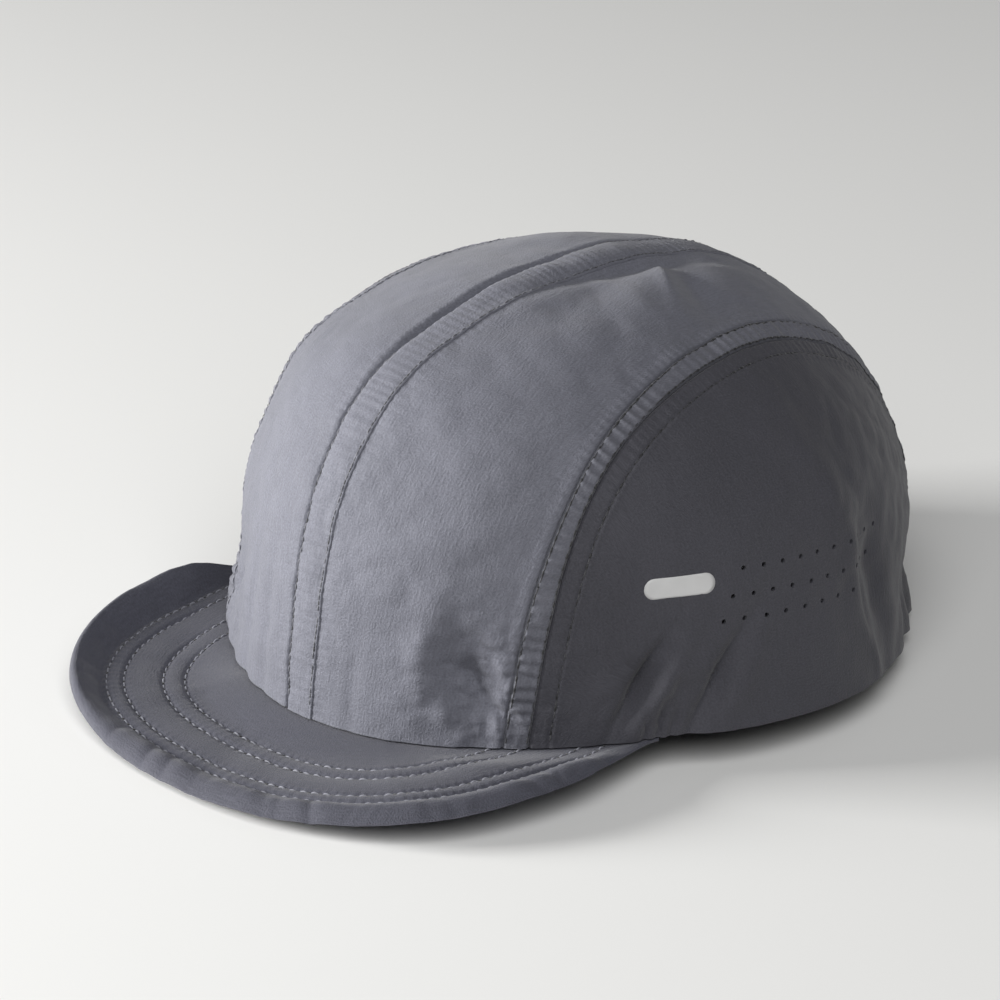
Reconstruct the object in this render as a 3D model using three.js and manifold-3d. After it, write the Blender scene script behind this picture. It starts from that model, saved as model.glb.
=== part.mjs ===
// A soft running cap lying on a surface: two long crown panels, a centre strip, two arched bindings,
// two side panels with punched air holes, and a short padded brim. Millimetres, +Z up, the front is -Y
// and the wearer's left is +X.
//
// A place on the crown is a turn (degrees round from the front, + to the wearer's left) and a lift
// (degrees from the hem, 0, to the top, 90).

import * as THREE from 'three';
import { mergeGeometries, mergeVertices } from 'three/addons/utils/BufferGeometryUtils.js';
import Module from 'manifold-3d';

const wasm = await Module();
wasm.setup();

const { degToRad, lerp, smoothstep } = THREE.MathUtils;

// Crown, as horizontal reach from the middle at each lift
const CROWN_HEIGHT = 101.3;
const CROWN_SECTIONS = [
  { lift: 0, front: 97.8, side: 84.8, back: 95.4 },
  { lift: 15, front: 95.4, side: 79.9, back: 97.0 },
  { lift: 30, front: 91.1, side: 75.8, back: 88.9 },
  { lift: 45, front: 81.1, side: 65.6, back: 75.6 },
  { lift: 60, front: 63.3, side: 47.3, back: 56.4 },
  { lift: 75, front: 35.6, side: 24.3, back: 31.1 },
  { lift: 90, front: 0, side: 0, back: 0 },
];
const HEM_FLATTENING = 0.056;
const TOP_SHIFT = -5.5;
const HEM_HEIGHT = { front: 7.0, side: 8.8, back: -0.6 };

// Cloth
const CLOTH_WALL = 1.2;
const BINDING_RAISE = 0.5;
const STRIP_RAISE = 0.6;
const SEAM_GAP = 0.3;

// Seams: how far out from the middle they run, from the front hem (0) to the back hem (1)
const STRIP_HALF_WIDTH = { hem: 4.3, top: 5.3 };
const ARCH = [
  { along: 0.0, seam: 47.1, panel: 51.3 },
  { along: 0.13, seam: 47.9, panel: 51.8 },
  { along: 0.25, seam: 49.6, panel: 52.7 },
  { along: 0.37, seam: 46.8, panel: 50.6 },
  { along: 0.5, seam: 41.6, panel: 46.9 },
  { along: 0.65, seam: 37.6, panel: 43.4 },
  { along: 0.82, seam: 36.0, panel: 41.4 },
  { along: 1.0, seam: 37.0, panel: 42.0 },
];
const SHOULDER = { front: 0.285, back: 0.715 };

// Folds pressed into the crown: heading is degrees from straight up, + towards a larger turn,
// and a depth below zero goes inwards
const FOLDS = [
  { place: 'left arch foot hollow', turn: 25, lift: 13, heading: -12, length: 13, width: 7, depth: -3.2 },
  { place: 'left arch foot crease', turn: 28, lift: 7, heading: -38, length: 10, width: 2.6, depth: -1.6 },
  { place: 'left hollow ridge', turn: 20, lift: 17, heading: 15, length: 12, width: 4, depth: 1.1 },
  { place: 'left side long crease', turn: 58.6, lift: 11, heading: 25, length: 14, width: 3.4, depth: -2.2 },
  { place: 'left side soft crease', turn: 78, lift: 10.5, heading: 34, length: 17, width: 5, depth: -1.6 },
  { place: 'left back bend', turn: 99, lift: 26, heading: -16, length: 24, width: 4.5, depth: 1.3 },
  { place: 'left back hollow', turn: 109, lift: 14, heading: -14, length: 17, width: 6, depth: -2.6 },
  { place: 'strip valley', turn: 100, lift: 83, heading: 90, length: 30, width: 5, depth: -1.2 },
  { place: 'top hollow', turn: 98, lift: 68, heading: 50, length: 16, width: 9, depth: -1.2 },
  { place: 'right brim flare', turn: -46, lift: 3, heading: 90, length: 24, width: 9, depth: 1.4 },
  { place: 'right front ripple', turn: -9, lift: 8, heading: 0, length: 20, width: 2.4, depth: -0.7 },
  { place: 'right front ripple', turn: -15, lift: 9, heading: 3, length: 22, width: 2.6, depth: -0.9 },
  { place: 'right front ripple', turn: -22, lift: 8, heading: 6, length: 18, width: 2.8, depth: -0.8 },
  { place: 'right side long crease', turn: -64, lift: 12, heading: -28, length: 15, width: 4, depth: -1.8 },
  { place: 'right side soft crease', turn: -88, lift: 14, heading: -20, length: 16, width: 5, depth: -1.4 },
  { place: 'right arch foot hollow', turn: -26, lift: 12, heading: 10, length: 11, width: 6, depth: -1.6 },
];

// The elastic back hem pulls the cloth in and gathers it
const GATHER = { from: 112, full: 142, pitch: 17, depth: 1.3, height: 16 };
const PINCH = { depth: -3.2, height: 15, spread: 9 };

// Air holes of a side panel, in rows that run back from a first hole
const HOLE_DIAMETER = 1.3;
const HOLE_SIDES = 6;
const PUNCH_LENGTH = 6 * CLOTH_WALL;
const HOLE_STEP = 4.3;
const HOLE_ROWS = [
  { turn: 72.8, lift: 25.1, liftPerHole: -0.28, count: 10 },
  { turn: 70.4, lift: 20.9, liftPerHole: -0.25, count: 10 },
  { turn: 68.6, lift: 17.0, liftPerHole: -0.2, count: 8 },
];

// Brim, in plan: a rounded outline about a centre behind its tip
const BRIM_HALF_WIDTH = 74.0;
const BRIM_CENTRE_Y = -68.1;
const BRIM_REACH = 72.3;
const BRIM_HEEL = 43.4;
const BRIM_ROUNDNESS = 2.49;
const BRIM_OUTLINE_TURN = 105;
const BRIM_ROOT_TURN = 57;
const BRIM_ROOT_INSET = 2.2;
const BRIM_THICKNESS = 3.6;
const BRIM_PAD = 0.9;
const RIM_BAND = 12;
const ROOT_BAND = 14;
// Heights of its upper face, by turn about its centre: the flat field, and the rim, which turns up
// on the wearer's right and down on the left
const BRIM_HEIGHTS = [
  { turn: -105, field: 8.6, rim: 10.6 },
  { turn: -75, field: 7.2, rim: 10.2 },
  { turn: -50, field: 5.9, rim: 8.0 },
  { turn: -25, field: 4.3, rim: 4.8 },
  { turn: 0, field: 3.6, rim: 3.4 },
  { turn: 25, field: 5.6, rim: 4.5 },
  { turn: 50, field: 9.0, rim: 7.4 },
  { turn: 75, field: 9.6, rim: 9.4 },
  { turn: 105, field: 9.2, rim: 9.4 },
];

// Facets
const STEPS = { archFront: 8, archTop: 24, archBack: 8, panelAcross: 9, stripAcross: 4, bindingAcross: 2 };
const BRIM_STEPS = { around: 44, across: 9 };

// A smooth curve through a table's rows, with no bend at its two ends
function splineThrough(rows, at, value) {
  const x = rows.map((row) => row[at]);
  const y = rows.map((row) => row[value]);
  const last = rows.length - 1;
  const bend = new Array(rows.length).fill(0);
  const weight = new Array(rows.length).fill(0);
  for (let i = 1; i < last; i += 1) {
    const before = x[i] - x[i - 1];
    const after = x[i + 1] - x[i];
    const slopes = (y[i + 1] - y[i]) / after - (y[i] - y[i - 1]) / before;
    const pivot = 2 * (before + after) - before * weight[i - 1];
    weight[i] = after / pivot;
    bend[i] = (6 * slopes - before * bend[i - 1]) / pivot;
  }
  for (let i = last - 1; i > 0; i -= 1) {
    bend[i] -= weight[i] * bend[i + 1];
  }
  return (place) => {
    let i = 0;
    while (i < last - 1 && place > x[i + 1]) {
      i += 1;
    }
    const span = x[i + 1] - x[i];
    const right = (place - x[i]) / span;
    const left = 1 - right;
    const curve = (left ** 3 - left) * bend[i] + (right ** 3 - right) * bend[i + 1];
    return left * y[i] + right * y[i + 1] + (curve * span * span) / 6;
  };
}

const reachAt = {
  front: splineThrough(CROWN_SECTIONS, 'lift', 'front'),
  side: splineThrough(CROWN_SECTIONS, 'lift', 'side'),
  back: splineThrough(CROWN_SECTIONS, 'lift', 'back'),
};
const archAt = {
  seam: splineThrough(ARCH, 'along', 'seam'),
  panel: splineThrough(ARCH, 'along', 'panel'),
};
const brimHeightAt = {
  field: splineThrough(BRIM_HEIGHTS, 'turn', 'field'),
  rim: splineThrough(BRIM_HEIGHTS, 'turn', 'rim'),
};

// Height of the hem's lower edge, which lies flat where it meets the surface
function hemHeight(turn) {
  const { front, side, back } = HEM_HEIGHT;
  const angle = degToRad(turn);
  const middle = (front + back) / 4 + side / 2;
  const swing = (front + back) / 4 - side / 2;
  const height = middle + ((front - back) / 2) * Math.cos(angle) + swing * Math.cos(2 * angle);
  return Math.max(0, height);
}

// The smooth crown, before folds
function crownPoint(turn, lift) {
  const angle = degToRad(turn);
  const ahead = Math.cos(angle);
  const aside = Math.sin(angle);
  const reach = Math.max((ahead > 0 ? reachAt.front : reachAt.back)(lift), 1e-6);
  const side = Math.max(reachAt.side(lift), 1e-6);
  const flattening = lerp(HEM_FLATTENING, 0, lift / 90) * Math.sin(2 * angle) ** 2;
  const radius = (1 - flattening) / Math.hypot(ahead / reach, aside / side);
  const rise = Math.sin(degToRad(lift));
  return new THREE.Vector3(
    radius * aside,
    -radius * ahead + TOP_SHIFT * rise * rise,
    lerp(hemHeight(turn), CROWN_HEIGHT, rise),
  );
}

// A flat map of the crown: the top is its middle, the hem its rim at radius 1, and the front is -Y
function mapped(across, down) {
  const lift = 90 * (1 - Math.hypot(across, down));
  return { turn: THREE.MathUtils.radToDeg(Math.atan2(across, -down)), lift };
}

function smoothCrown(across, down) {
  const { turn, lift } = mapped(across, down);
  return crownPoint(turn, lift);
}

function crownNormal(across, down) {
  const step = 1e-3;
  const scale = Math.min(1, (1 - 2 * step) / Math.max(Math.hypot(across, down), step));
  const [a, d] = [across * scale, down * scale];
  const sideways = smoothCrown(a + step, d).sub(smoothCrown(a - step, d));
  const backwards = smoothCrown(a, d + step).sub(smoothCrown(a, d - step));
  return sideways.cross(backwards).normalize();
}

// Each fold's middle and its two directions on the crown
const foldFrames = FOLDS.map((fold) => {
  const step = 0.05;
  const middle = crownPoint(fold.turn, fold.lift);
  const up = crownPoint(fold.turn, fold.lift + step).sub(middle).normalize();
  const round = crownPoint(fold.turn + step, fold.lift).sub(middle).normalize();
  const heading = degToRad(fold.heading);
  const [ahead, aside] = [Math.cos(heading), Math.sin(heading)];
  const along = up.clone().multiplyScalar(ahead).addScaledVector(round, aside).normalize();
  const across = round.clone().multiplyScalar(ahead).addScaledVector(up, -aside).normalize();
  return { ...fold, middle, along, across };
});

function foldRise(point) {
  let rise = 0;
  for (const fold of foldFrames) {
    const away = point.clone().sub(fold.middle);
    const onFold = away.dot(fold.along) / fold.length;
    const offFold = away.dot(fold.across) / fold.width;
    const outside = away.length() / (2.5 * (fold.length + fold.width));
    rise += outside < 1 ? fold.depth * Math.exp(-onFold * onFold - offFold * offFold) : 0;
  }
  return rise;
}

function gatherRise(point, turn) {
  const pulled = smoothstep(Math.abs(turn), GATHER.from, GATHER.full);
  const above = point.z - hemHeight(turn);
  const round = degToRad(turn) * reachAt.back(0);
  const ruffle = GATHER.depth * Math.cos((2 * Math.PI * round) / GATHER.pitch);
  const pinch = PINCH.depth * Math.exp(-(((above - PINCH.height) / PINCH.spread) ** 2));
  return pulled * (ruffle * Math.exp(-((above / GATHER.height) ** 2)) + pinch);
}

// A point of the folded crown, out from its smooth face by a raise
function clothPoint({ across, down }, raise) {
  const { turn } = mapped(across, down);
  const point = smoothCrown(across, down);
  const rise = raise + foldRise(point) + gatherRise(point, turn);
  return point.addScaledVector(crownNormal(across, down), rise);
}

// The place on the map that lies a share along from front hem to back hem
function alongMap(along, across) {
  return { across, down: (2 * along - 1) * Math.sqrt(1 - across * across) };
}

// The same place, found from its distance out from the middle in mm
function placeAt(along, out) {
  let low = 0;
  let high = 0.98;
  for (let i = 0; i < 40; i += 1) {
    const guess = (low + high) / 2;
    const { across, down } = alongMap(along, guess);
    if (smoothCrown(across, down).x < Math.abs(out)) {
      low = guess;
    } else {
      high = guess;
    }
  }
  return alongMap(along, Math.sign(out) * low);
}

function onHem(turn) {
  const angle = degToRad(turn);
  return { across: Math.sin(angle), down: -Math.cos(angle) };
}

// Stations of the seams, from the front hem over the top to the back hem
const stations = [];
const stretches = [
  { from: 0, to: SHOULDER.front, steps: STEPS.archFront },
  { from: SHOULDER.front, to: SHOULDER.back, steps: STEPS.archTop },
  { from: SHOULDER.back, to: 1, steps: STEPS.archBack },
];
for (const { from, to, steps } of stretches) {
  for (let i = 0; i < steps; i += 1) {
    stations.push(lerp(from, to, i / steps));
  }
}
stations.push(1);

// A closed sheet of cloth over a grid of map places, with its open edges drawn in by half a seam gap
function clothPiece(grid, raise, seamEdges) {
  const outer = grid.map((row) => row.map((place) => clothPoint(place, raise)));
  const inner = grid.map((row) => row.map((place) => clothPoint(place, raise - CLOTH_WALL)));
  const lastRow = grid.length - 1;
  const lastColumn = grid[0].length - 1;
  for (const face of [outer, inner]) {
    for (let r = 0; r <= lastRow; r += 1) {
      if (seamEdges.first) {
        drawIn(face[r][0], face[r][1]);
      }
      if (seamEdges.last) {
        drawIn(face[r][lastColumn], face[r][lastColumn - 1]);
      }
    }
    if (seamEdges.top) {
      face[lastRow].forEach((point, c) => drawIn(point, face[lastRow - 1][c]));
    }
  }
  // The hem is cut level, so that it can lie on a surface
  grid.forEach((row, r) => row.forEach((place, c) => {
    if (Math.hypot(place.across, place.down) > 1 - 1e-6) {
      outer[r][c].z = hemHeight(mapped(place.across, place.down).turn);
      inner[r][c].z = outer[r][c].z;
    }
  }));
  return closedSheet(outer, inner);
}

function drawIn(edge, neighbour) {
  const inwards = neighbour.clone().sub(edge);
  edge.addScaledVector(inwards, SEAM_GAP / 2 / inwards.length());
}

// One closed body between two faces that are grids of the same shape
function closedSheet(outer, inner) {
  const rows = outer.length;
  const columns = outer[0].length;
  const positions = [...outer.flat(), ...inner.flat()].flatMap((point) => point.toArray());
  const top = (r, c) => r * columns + c;
  const under = (r, c) => rows * columns + r * columns + c;
  const faces = [];
  const addQuad = (a, b, c, d) => faces.push(a, b, c, a, c, d);
  for (let r = 0; r < rows - 1; r += 1) {
    for (let c = 0; c < columns - 1; c += 1) {
      addQuad(top(r, c), top(r, c + 1), top(r + 1, c + 1), top(r + 1, c));
      addQuad(under(r, c), under(r + 1, c), under(r + 1, c + 1), under(r, c + 1));
    }
  }
  const edge = [];
  for (let c = 0; c < columns - 1; c += 1) {
    edge.push([0, c]);
  }
  for (let r = 0; r < rows - 1; r += 1) {
    edge.push([r, columns - 1]);
  }
  for (let c = columns - 1; c > 0; c -= 1) {
    edge.push([rows - 1, c]);
  }
  for (let r = rows - 1; r > 0; r -= 1) {
    edge.push([r, 0]);
  }
  edge.forEach(([r, c], i) => {
    const [nextR, nextC] = edge[(i + 1) % edge.length];
    addQuad(top(nextR, nextC), top(r, c), under(r, c), under(nextR, nextC));
  });
  return facingOut(positions, faces);
}

function facingOut(positions, faces) {
  const corner = (i) => new THREE.Vector3().fromArray(positions, 3 * i);
  let volume = 0;
  for (let i = 0; i < faces.length; i += 3) {
    volume += corner(faces[i]).dot(corner(faces[i + 1]).cross(corner(faces[i + 2])));
  }
  if (volume < 0) {
    faces.reverse();
  }
  const geometry = new THREE.BufferGeometry();
  geometry.setAttribute('position', new THREE.Float32BufferAttribute(positions, 3));
  geometry.setIndex(faces);
  geometry.computeVertexNormals();
  return geometry;
}

function toSolid(geometry) {
  const bare = geometry.clone();
  bare.deleteAttribute('normal');
  bare.deleteAttribute('uv');
  const merged = mergeVertices(bare);
  return new wasm.Manifold(new wasm.Mesh({
    numProp: 3,
    vertProperties: new Float32Array(merged.attributes.position.array),
    triVerts: new Uint32Array(merged.index.array),
  }));
}

function toGeometry(solid) {
  const { vertProperties, triVerts } = solid.getMesh();
  const geometry = new THREE.BufferGeometry();
  geometry.setAttribute('position', new THREE.Float32BufferAttribute(vertProperties, 3));
  geometry.setIndex(Array.from(triVerts));
  geometry.computeVertexNormals();
  return geometry;
}

function stripHalfWidth(along) {
  return lerp(STRIP_HALF_WIDTH.hem, STRIP_HALF_WIDTH.top, Math.sin(Math.PI * along));
}

function archPlace(side, along, line) {
  return placeAt(along, side * archAt[line](along));
}

// Rows run along the seams, columns across from the middle
function gridAcross(steps, placeFrom, placeTo) {
  return stations.map((along) => {
    const [from, to] = [placeFrom(along).across, placeTo(along).across];
    return Array.from({ length: steps + 1 }, (_, i) => alongMap(along, lerp(from, to, i / steps)));
  });
}

const seamBothSides = { first: true, last: true };

function crownPanel(side) {
  const grid = gridAcross(
    STEPS.panelAcross,
    (along) => placeAt(along, side * stripHalfWidth(along)),
    (along) => archPlace(side, along, 'seam'),
  );
  return clothPiece(grid, 0, seamBothSides);
}

function centerSeamStrip() {
  const grid = gridAcross(
    STEPS.stripAcross,
    (along) => placeAt(along, -stripHalfWidth(along)),
    (along) => placeAt(along, stripHalfWidth(along)),
  );
  return clothPiece(grid, STRIP_RAISE, seamBothSides);
}

function archBinding(side) {
  const grid = gridAcross(
    STEPS.bindingAcross,
    (along) => archPlace(side, along, 'seam'),
    (along) => archPlace(side, along, 'panel'),
  );
  return clothPiece(grid, BINDING_RAISE, seamBothSides);
}

// The D-shaped panel under an arch: its four sides are the hem, the arch's two legs and its top
function sidePanel(side) {
  const legSteps = STEPS.archFront;
  const topSteps = STEPS.archTop;
  const arch = stations.map((along) => archPlace(side, along, 'panel'));
  const frontLeg = arch.slice(0, legSteps + 1);
  const top = arch.slice(legSteps, legSteps + topSteps + 1);
  const backLeg = arch.slice(legSteps + topSteps).reverse();
  const turnOf = (place) => mapped(place.across, place.down).turn;
  const [firstTurn, lastTurn] = [turnOf(frontLeg[0]), turnOf(backLeg[0])];
  const hem = top.map((_, c) => onHem(lerp(firstTurn, lastTurn, c / topSteps)));
  const coons = (r, c, axis) => {
    const [up, back] = [r / legSteps, c / topSteps];
    const ruledUp = lerp(hem[c][axis], top[c][axis], up);
    const ruledBack = lerp(frontLeg[r][axis], backLeg[r][axis], back);
    const corners = lerp(
      lerp(hem[0][axis], hem[topSteps][axis], back),
      lerp(top[0][axis], top[topSteps][axis], back),
      up,
    );
    return ruledUp + ruledBack - corners;
  };
  const grid = frontLeg.map((_, r) => top.map((__, c) => ({
    across: coons(r, c, 'across'),
    down: coons(r, c, 'down'),
  })));
  const panel = clothPiece(grid, 0, { first: true, last: true, top: true });
  return toGeometry(toSolid(panel).subtract(toSolid(airHolePunches(side))));
}

// Short rods through the cloth, one for each air hole
function airHolePunches(side) {
  const rods = [];
  for (const row of HOLE_ROWS) {
    for (let i = 0; i < row.count; i += 1) {
      const turn = row.turn + i * HOLE_STEP;
      const radius = 1 - (row.lift + i * row.liftPerHole) / 90;
      const across = side * radius * Math.sin(degToRad(turn));
      const down = -radius * Math.cos(degToRad(turn));
      const rod = new THREE.CylinderGeometry(HOLE_DIAMETER / 2, HOLE_DIAMETER / 2, PUNCH_LENGTH, HOLE_SIDES);
      const outwards = crownNormal(across, down);
      rod.applyQuaternion(new THREE.Quaternion().setFromUnitVectors(new THREE.Vector3(0, 1, 0), outwards));
      const middle = clothPoint({ across, down }, -CLOTH_WALL / 2);
      rod.translate(middle.x, middle.y, middle.z);
      rods.push(rod);
    }
  }
  return mergeGeometries(rods);
}

function brimOutline(turn) {
  const angle = degToRad(turn);
  const ahead = Math.cos(angle);
  const aside = Math.sin(angle);
  const reach = ahead > 0 ? BRIM_REACH : BRIM_HEEL;
  const radius = (Math.abs(ahead / reach) ** BRIM_ROUNDNESS
    + Math.abs(aside / BRIM_HALF_WIDTH) ** BRIM_ROUNDNESS) ** (-1 / BRIM_ROUNDNESS);
  return new THREE.Vector2(radius * aside, BRIM_CENTRE_Y - radius * ahead);
}

// Its root lies under the front hem, its rim is padded, and it is flat where it lies on the surface
function brim() {
  const upper = [];
  const lower = [];
  for (let i = 0; i <= BRIM_STEPS.around; i += 1) {
    const share = lerp(-1, 1, i / BRIM_STEPS.around);
    const outlineTurn = share * BRIM_OUTLINE_TURN;
    const rootTurn = share * BRIM_ROOT_TURN;
    const edge = brimOutline(outlineTurn);
    const hem = crownPoint(rootTurn, 0);
    const root = new THREE.Vector2(hem.x, hem.y);
    root.multiplyScalar(1 - BRIM_ROOT_INSET / root.length());
    const width = edge.distanceTo(root);
    const field = brimHeightAt.field(outlineTurn);
    const rim = brimHeightAt.rim(outlineTurn);
    const topRow = [];
    const underRow = [];
    for (let j = 0; j <= BRIM_STEPS.across; j += 1) {
      const spread = Math.sin((Math.PI / 2) * (j / BRIM_STEPS.across));
      const place = root.clone().lerp(edge, spread);
      const fromEdge = (1 - spread) * width;
      const fromRoot = Math.max(0, spread * width - BRIM_ROOT_INSET);
      const nearRim = 1 - smoothstep(fromEdge, 0, RIM_BAND);
      const nearRoot = 1 - smoothstep(fromRoot, 0, ROOT_BAND);
      const surface = lerp(lerp(field, rim, nearRim), hem.z - SEAM_GAP, nearRoot);
      const pad = BRIM_PAD * Math.sin(Math.PI * Math.min(1, fromEdge / RIM_BAND)) * (1 - nearRoot);
      const rounding = j === BRIM_STEPS.across ? BRIM_THICKNESS / 3 : 0;
      topRow.push(new THREE.Vector3(place.x, place.y, surface + pad - rounding));
      underRow.push(new THREE.Vector3(place.x, place.y, Math.max(0, surface - BRIM_THICKNESS + rounding)));
    }
    upper.push(topRow);
    lower.push(underRow);
  }
  return closedSheet(upper, lower);
}

function finish(color, roughness) {
  return new THREE.MeshStandardMaterial({ color, roughness, metalness: 0 });
}

function piece(name, geometry, material) {
  const mesh = new THREE.Mesh(geometry, material);
  mesh.name = name;
  return mesh;
}

const cap = new THREE.Group();
for (const [name, side] of [['left', 1], ['right', -1]]) {
  cap.add(piece(`crown_panel_${name}`, crownPanel(side), finish('#6a6b77', 0.8)));
  cap.add(piece(`side_panel_${name}`, sidePanel(side), finish('#5f606b', 0.8)));
  cap.add(piece(`arch_binding_${name}`, archBinding(side), finish('#565762', 0.78)));
}
cap.add(piece('center_seam_strip', centerSeamStrip(), finish('#6f707c', 0.8)));
cap.add(piece('brim', brim(), finish('#62636e', 0.82)));

// The origin is the middle of the box's bottom
const box = new THREE.Box3().setFromObject(cap);
const middle = box.getCenter(new THREE.Vector3());
cap.position.set(-middle.x, -middle.y, -box.min.z);

const part = new THREE.Group();
part.add(cap);

export default part;
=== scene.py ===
import math
from functools import lru_cache

import bpy
import numpy as np
from mathutils import Matrix, Vector


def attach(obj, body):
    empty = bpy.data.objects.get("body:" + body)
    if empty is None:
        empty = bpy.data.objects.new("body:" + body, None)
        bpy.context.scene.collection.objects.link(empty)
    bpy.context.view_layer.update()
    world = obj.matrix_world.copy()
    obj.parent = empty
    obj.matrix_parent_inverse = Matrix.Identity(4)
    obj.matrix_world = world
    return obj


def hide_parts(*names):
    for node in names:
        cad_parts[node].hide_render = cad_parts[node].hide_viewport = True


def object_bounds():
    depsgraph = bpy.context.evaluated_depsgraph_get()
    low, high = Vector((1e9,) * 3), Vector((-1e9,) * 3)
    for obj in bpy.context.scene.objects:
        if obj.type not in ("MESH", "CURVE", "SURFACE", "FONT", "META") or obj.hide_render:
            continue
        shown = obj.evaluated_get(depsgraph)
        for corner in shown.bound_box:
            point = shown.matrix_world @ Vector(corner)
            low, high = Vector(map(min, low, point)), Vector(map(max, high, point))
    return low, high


# The looks of a soft running cap, laid out as an add-on. Cloth is worked out in millimetres about
# the middle of the hem ring, the front is -Y, the wearer's left is +X, and a place on the crown is
# a turn (degrees round from the front) and a lift (degrees from the hem, 0, to the top, 90).

bl_info = {
    "name": "Running Cap Looks",
    "version": (1, 0, 0),
    "blender": (4, 5, 0),
    "location": "3D View > Sidebar > Running Cap",
    "description": "Builds the cloth, seams, stitches and brim of a soft running cap",
    "category": "Object",
}

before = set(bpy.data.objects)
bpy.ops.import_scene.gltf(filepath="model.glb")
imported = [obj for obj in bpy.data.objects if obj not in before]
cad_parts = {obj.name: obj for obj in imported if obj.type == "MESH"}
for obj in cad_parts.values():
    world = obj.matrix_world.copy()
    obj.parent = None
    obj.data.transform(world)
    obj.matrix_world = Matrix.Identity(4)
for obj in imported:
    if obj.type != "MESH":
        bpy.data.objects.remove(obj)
CAD_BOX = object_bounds()

MM = 0.001
SEED = 7

# Crown, as horizontal reach from the middle at each lift, in mm
CROWN_HEIGHT = 101.3
CROWN_LIFTS = [0, 15, 30, 45, 60, 75, 90]
CROWN_REACH = {
    "front": [97.8, 95.4, 91.1, 81.1, 63.3, 35.6, 0],
    "side": [84.8, 79.9, 75.8, 65.6, 47.3, 24.3, 0],
    "back": [95.4, 97.0, 88.9, 75.6, 56.4, 31.1, 0],
}
HEM_FLATTENING = 0.056
TOP_SHIFT = -5.5
HEM_HEIGHT = {"front": 7.0, "side": 8.8, "back": -0.6}

# Seams: how far out from the middle they run, from the front hem (0) to the back hem (1)
STRIP_HALF_WIDTH = {"hem": 4.3, "top": 5.3}
ARCH_ALONG = [0.0, 0.13, 0.25, 0.37, 0.5, 0.65, 0.82, 1.0]
ARCH_OUT = {
    "seam": [47.1, 47.9, 49.6, 46.8, 41.6, 37.6, 36.0, 37.0],
    "panel": [51.3, 51.8, 52.7, 50.6, 46.9, 43.4, 41.4, 42.0],
}
SHOULDER = {"front": 0.285, "back": 0.715}
SEAM_ALLOWANCE = 1.2

# Folds: turn, lift, heading (degrees from straight up, + towards a larger turn), length, width,
# depth (below zero goes in) and sharpness (2 is round, less is creased)
FOLDS = {
    "left arch foot hollow": (26.5, 10.5, -14, 11.5, 5.2, -4.7, 1.8),
    "left arch foot crease 1": (23, 11, -24, 10, 2.0, -1.5, 1.3),
    "left arch foot crease 2": (28.5, 8, -42, 9, 1.7, -1.3, 1.3),
    "left arch foot crease 3": (31, 14, -62, 6, 1.5, -1.1, 1.3),
    "left arch foot crease 4": (32, 4.5, -70, 5, 1.3, -0.8, 1.3),
    "left hollow ridge": (20, 17, 15, 12, 4, 1.1, 2),
    "left foot ridge": (31.5, 12, -18, 11, 2.4, 0.7, 1.8),
    "left side long crease": (53.1, 8.6, 32, 10.5, 1.9, -5.0, 1.4),
    "left side crease shoulder": (57.0, 7.8, 32, 10, 2.6, 2.8, 2),
    "left side soft crease": (67.4, 8.0, 33, 13, 2.3, -4.3, 1.5),
    "left side soft shoulder": (71.6, 7.5, 33, 12, 3.2, 1.2, 2),
    "left hem tuck 1": (54.3, 1.8, 6, 5, 1.0, -1.6, 1.5),
    "left hem tuck 2": (56.8, 2.2, 10, 6, 1.0, -1.8, 1.5),
    "left hem tuck 3": (59.2, 1.8, 16, 5, 1.0, -1.6, 1.5),
    "left back bend": (99, 26, -16, 24, 4.5, 1.3, 2),
    "left back hollow": (109, 14, -14, 17, 6, -2.6, 2),
    "left back crease": (103.5, 12, -8, 13, 2.0, -1.1, 1.5),
    "left back lit ridge": (104.5, 5.2, -23, 7, 2.2, 1.2, 2),
    "strip valley": (100, 83, 90, 30, 5, -1.2, 2),
    "top hollow": (98, 68, 50, 16, 6, -1.3, 1.7),
    "valley beside the strip": (130, 84, -49, 28, 3.6, -2.3, 1.8),
    "top fold": (121, 77.5, 60, 11, 3.2, 1.6, 1.5),
    "top fold hollow": (124, 72, 60, 12, 4.5, -2.4, 1.8),
    "top ridge": (75, 73, 40, 14, 5, 0.6, 2),
    "right brim flare": (-46, 3, 90, 24, 9, 1.4, 2),
    "front ripple": (9, 7, 4, 14, 2.0, -0.5, 1.8),
    "right front ripple 1": (-9, 8, 0, 20, 2.0, -0.8, 1.8),
    "right front ripple 2": (-15, 9, 3, 22, 2.2, -1.0, 1.8),
    "right front ripple 3": (-22, 8, 6, 18, 2.4, -0.9, 1.8),
    "right side long crease": (-64, 12, -28, 15, 3, -1.8, 1.5),
    "right side soft crease": (-88, 14, -20, 16, 4, -1.4, 1.8),
    "right arch foot hollow": (-26, 12, 10, 11, 5, -1.6, 1.8),
    "right arch foot crease": (-30, 8, 44, 9, 1.8, -1.1, 1.3),
}

# The seam on the wearer's right of the strip sinks in: its middle in mm from the front hem
DITCH = {"middle": 122, "length": 34, "width": 1.1, "depth": -2.0}

# Where the cloth is crumpled: turn, lift, and reach, depth and size of its creases in mm
CRUMPLES = [
    (27, 9, 17, 0.52, 8), (-28, 9, 15, 0.4, 9), (4, 30, 60, 0.16, 12), (60, 8, 22, 0.3, 10),
    (110, 30, 40, 0.16, 14), (170, 20, 60, 0.35, 13), (-70, 20, 50, 0.22, 13), (60, 75, 34, 0.12, 18),
]

# The elastic back hem pulls the cloth in and gathers it
GATHER = {"from": 112, "full": 142, "pitch": 17, "depth": 1.3, "height": 16}
PINCH = {"depth": -3.2, "height": 15, "spread": 9}

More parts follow.
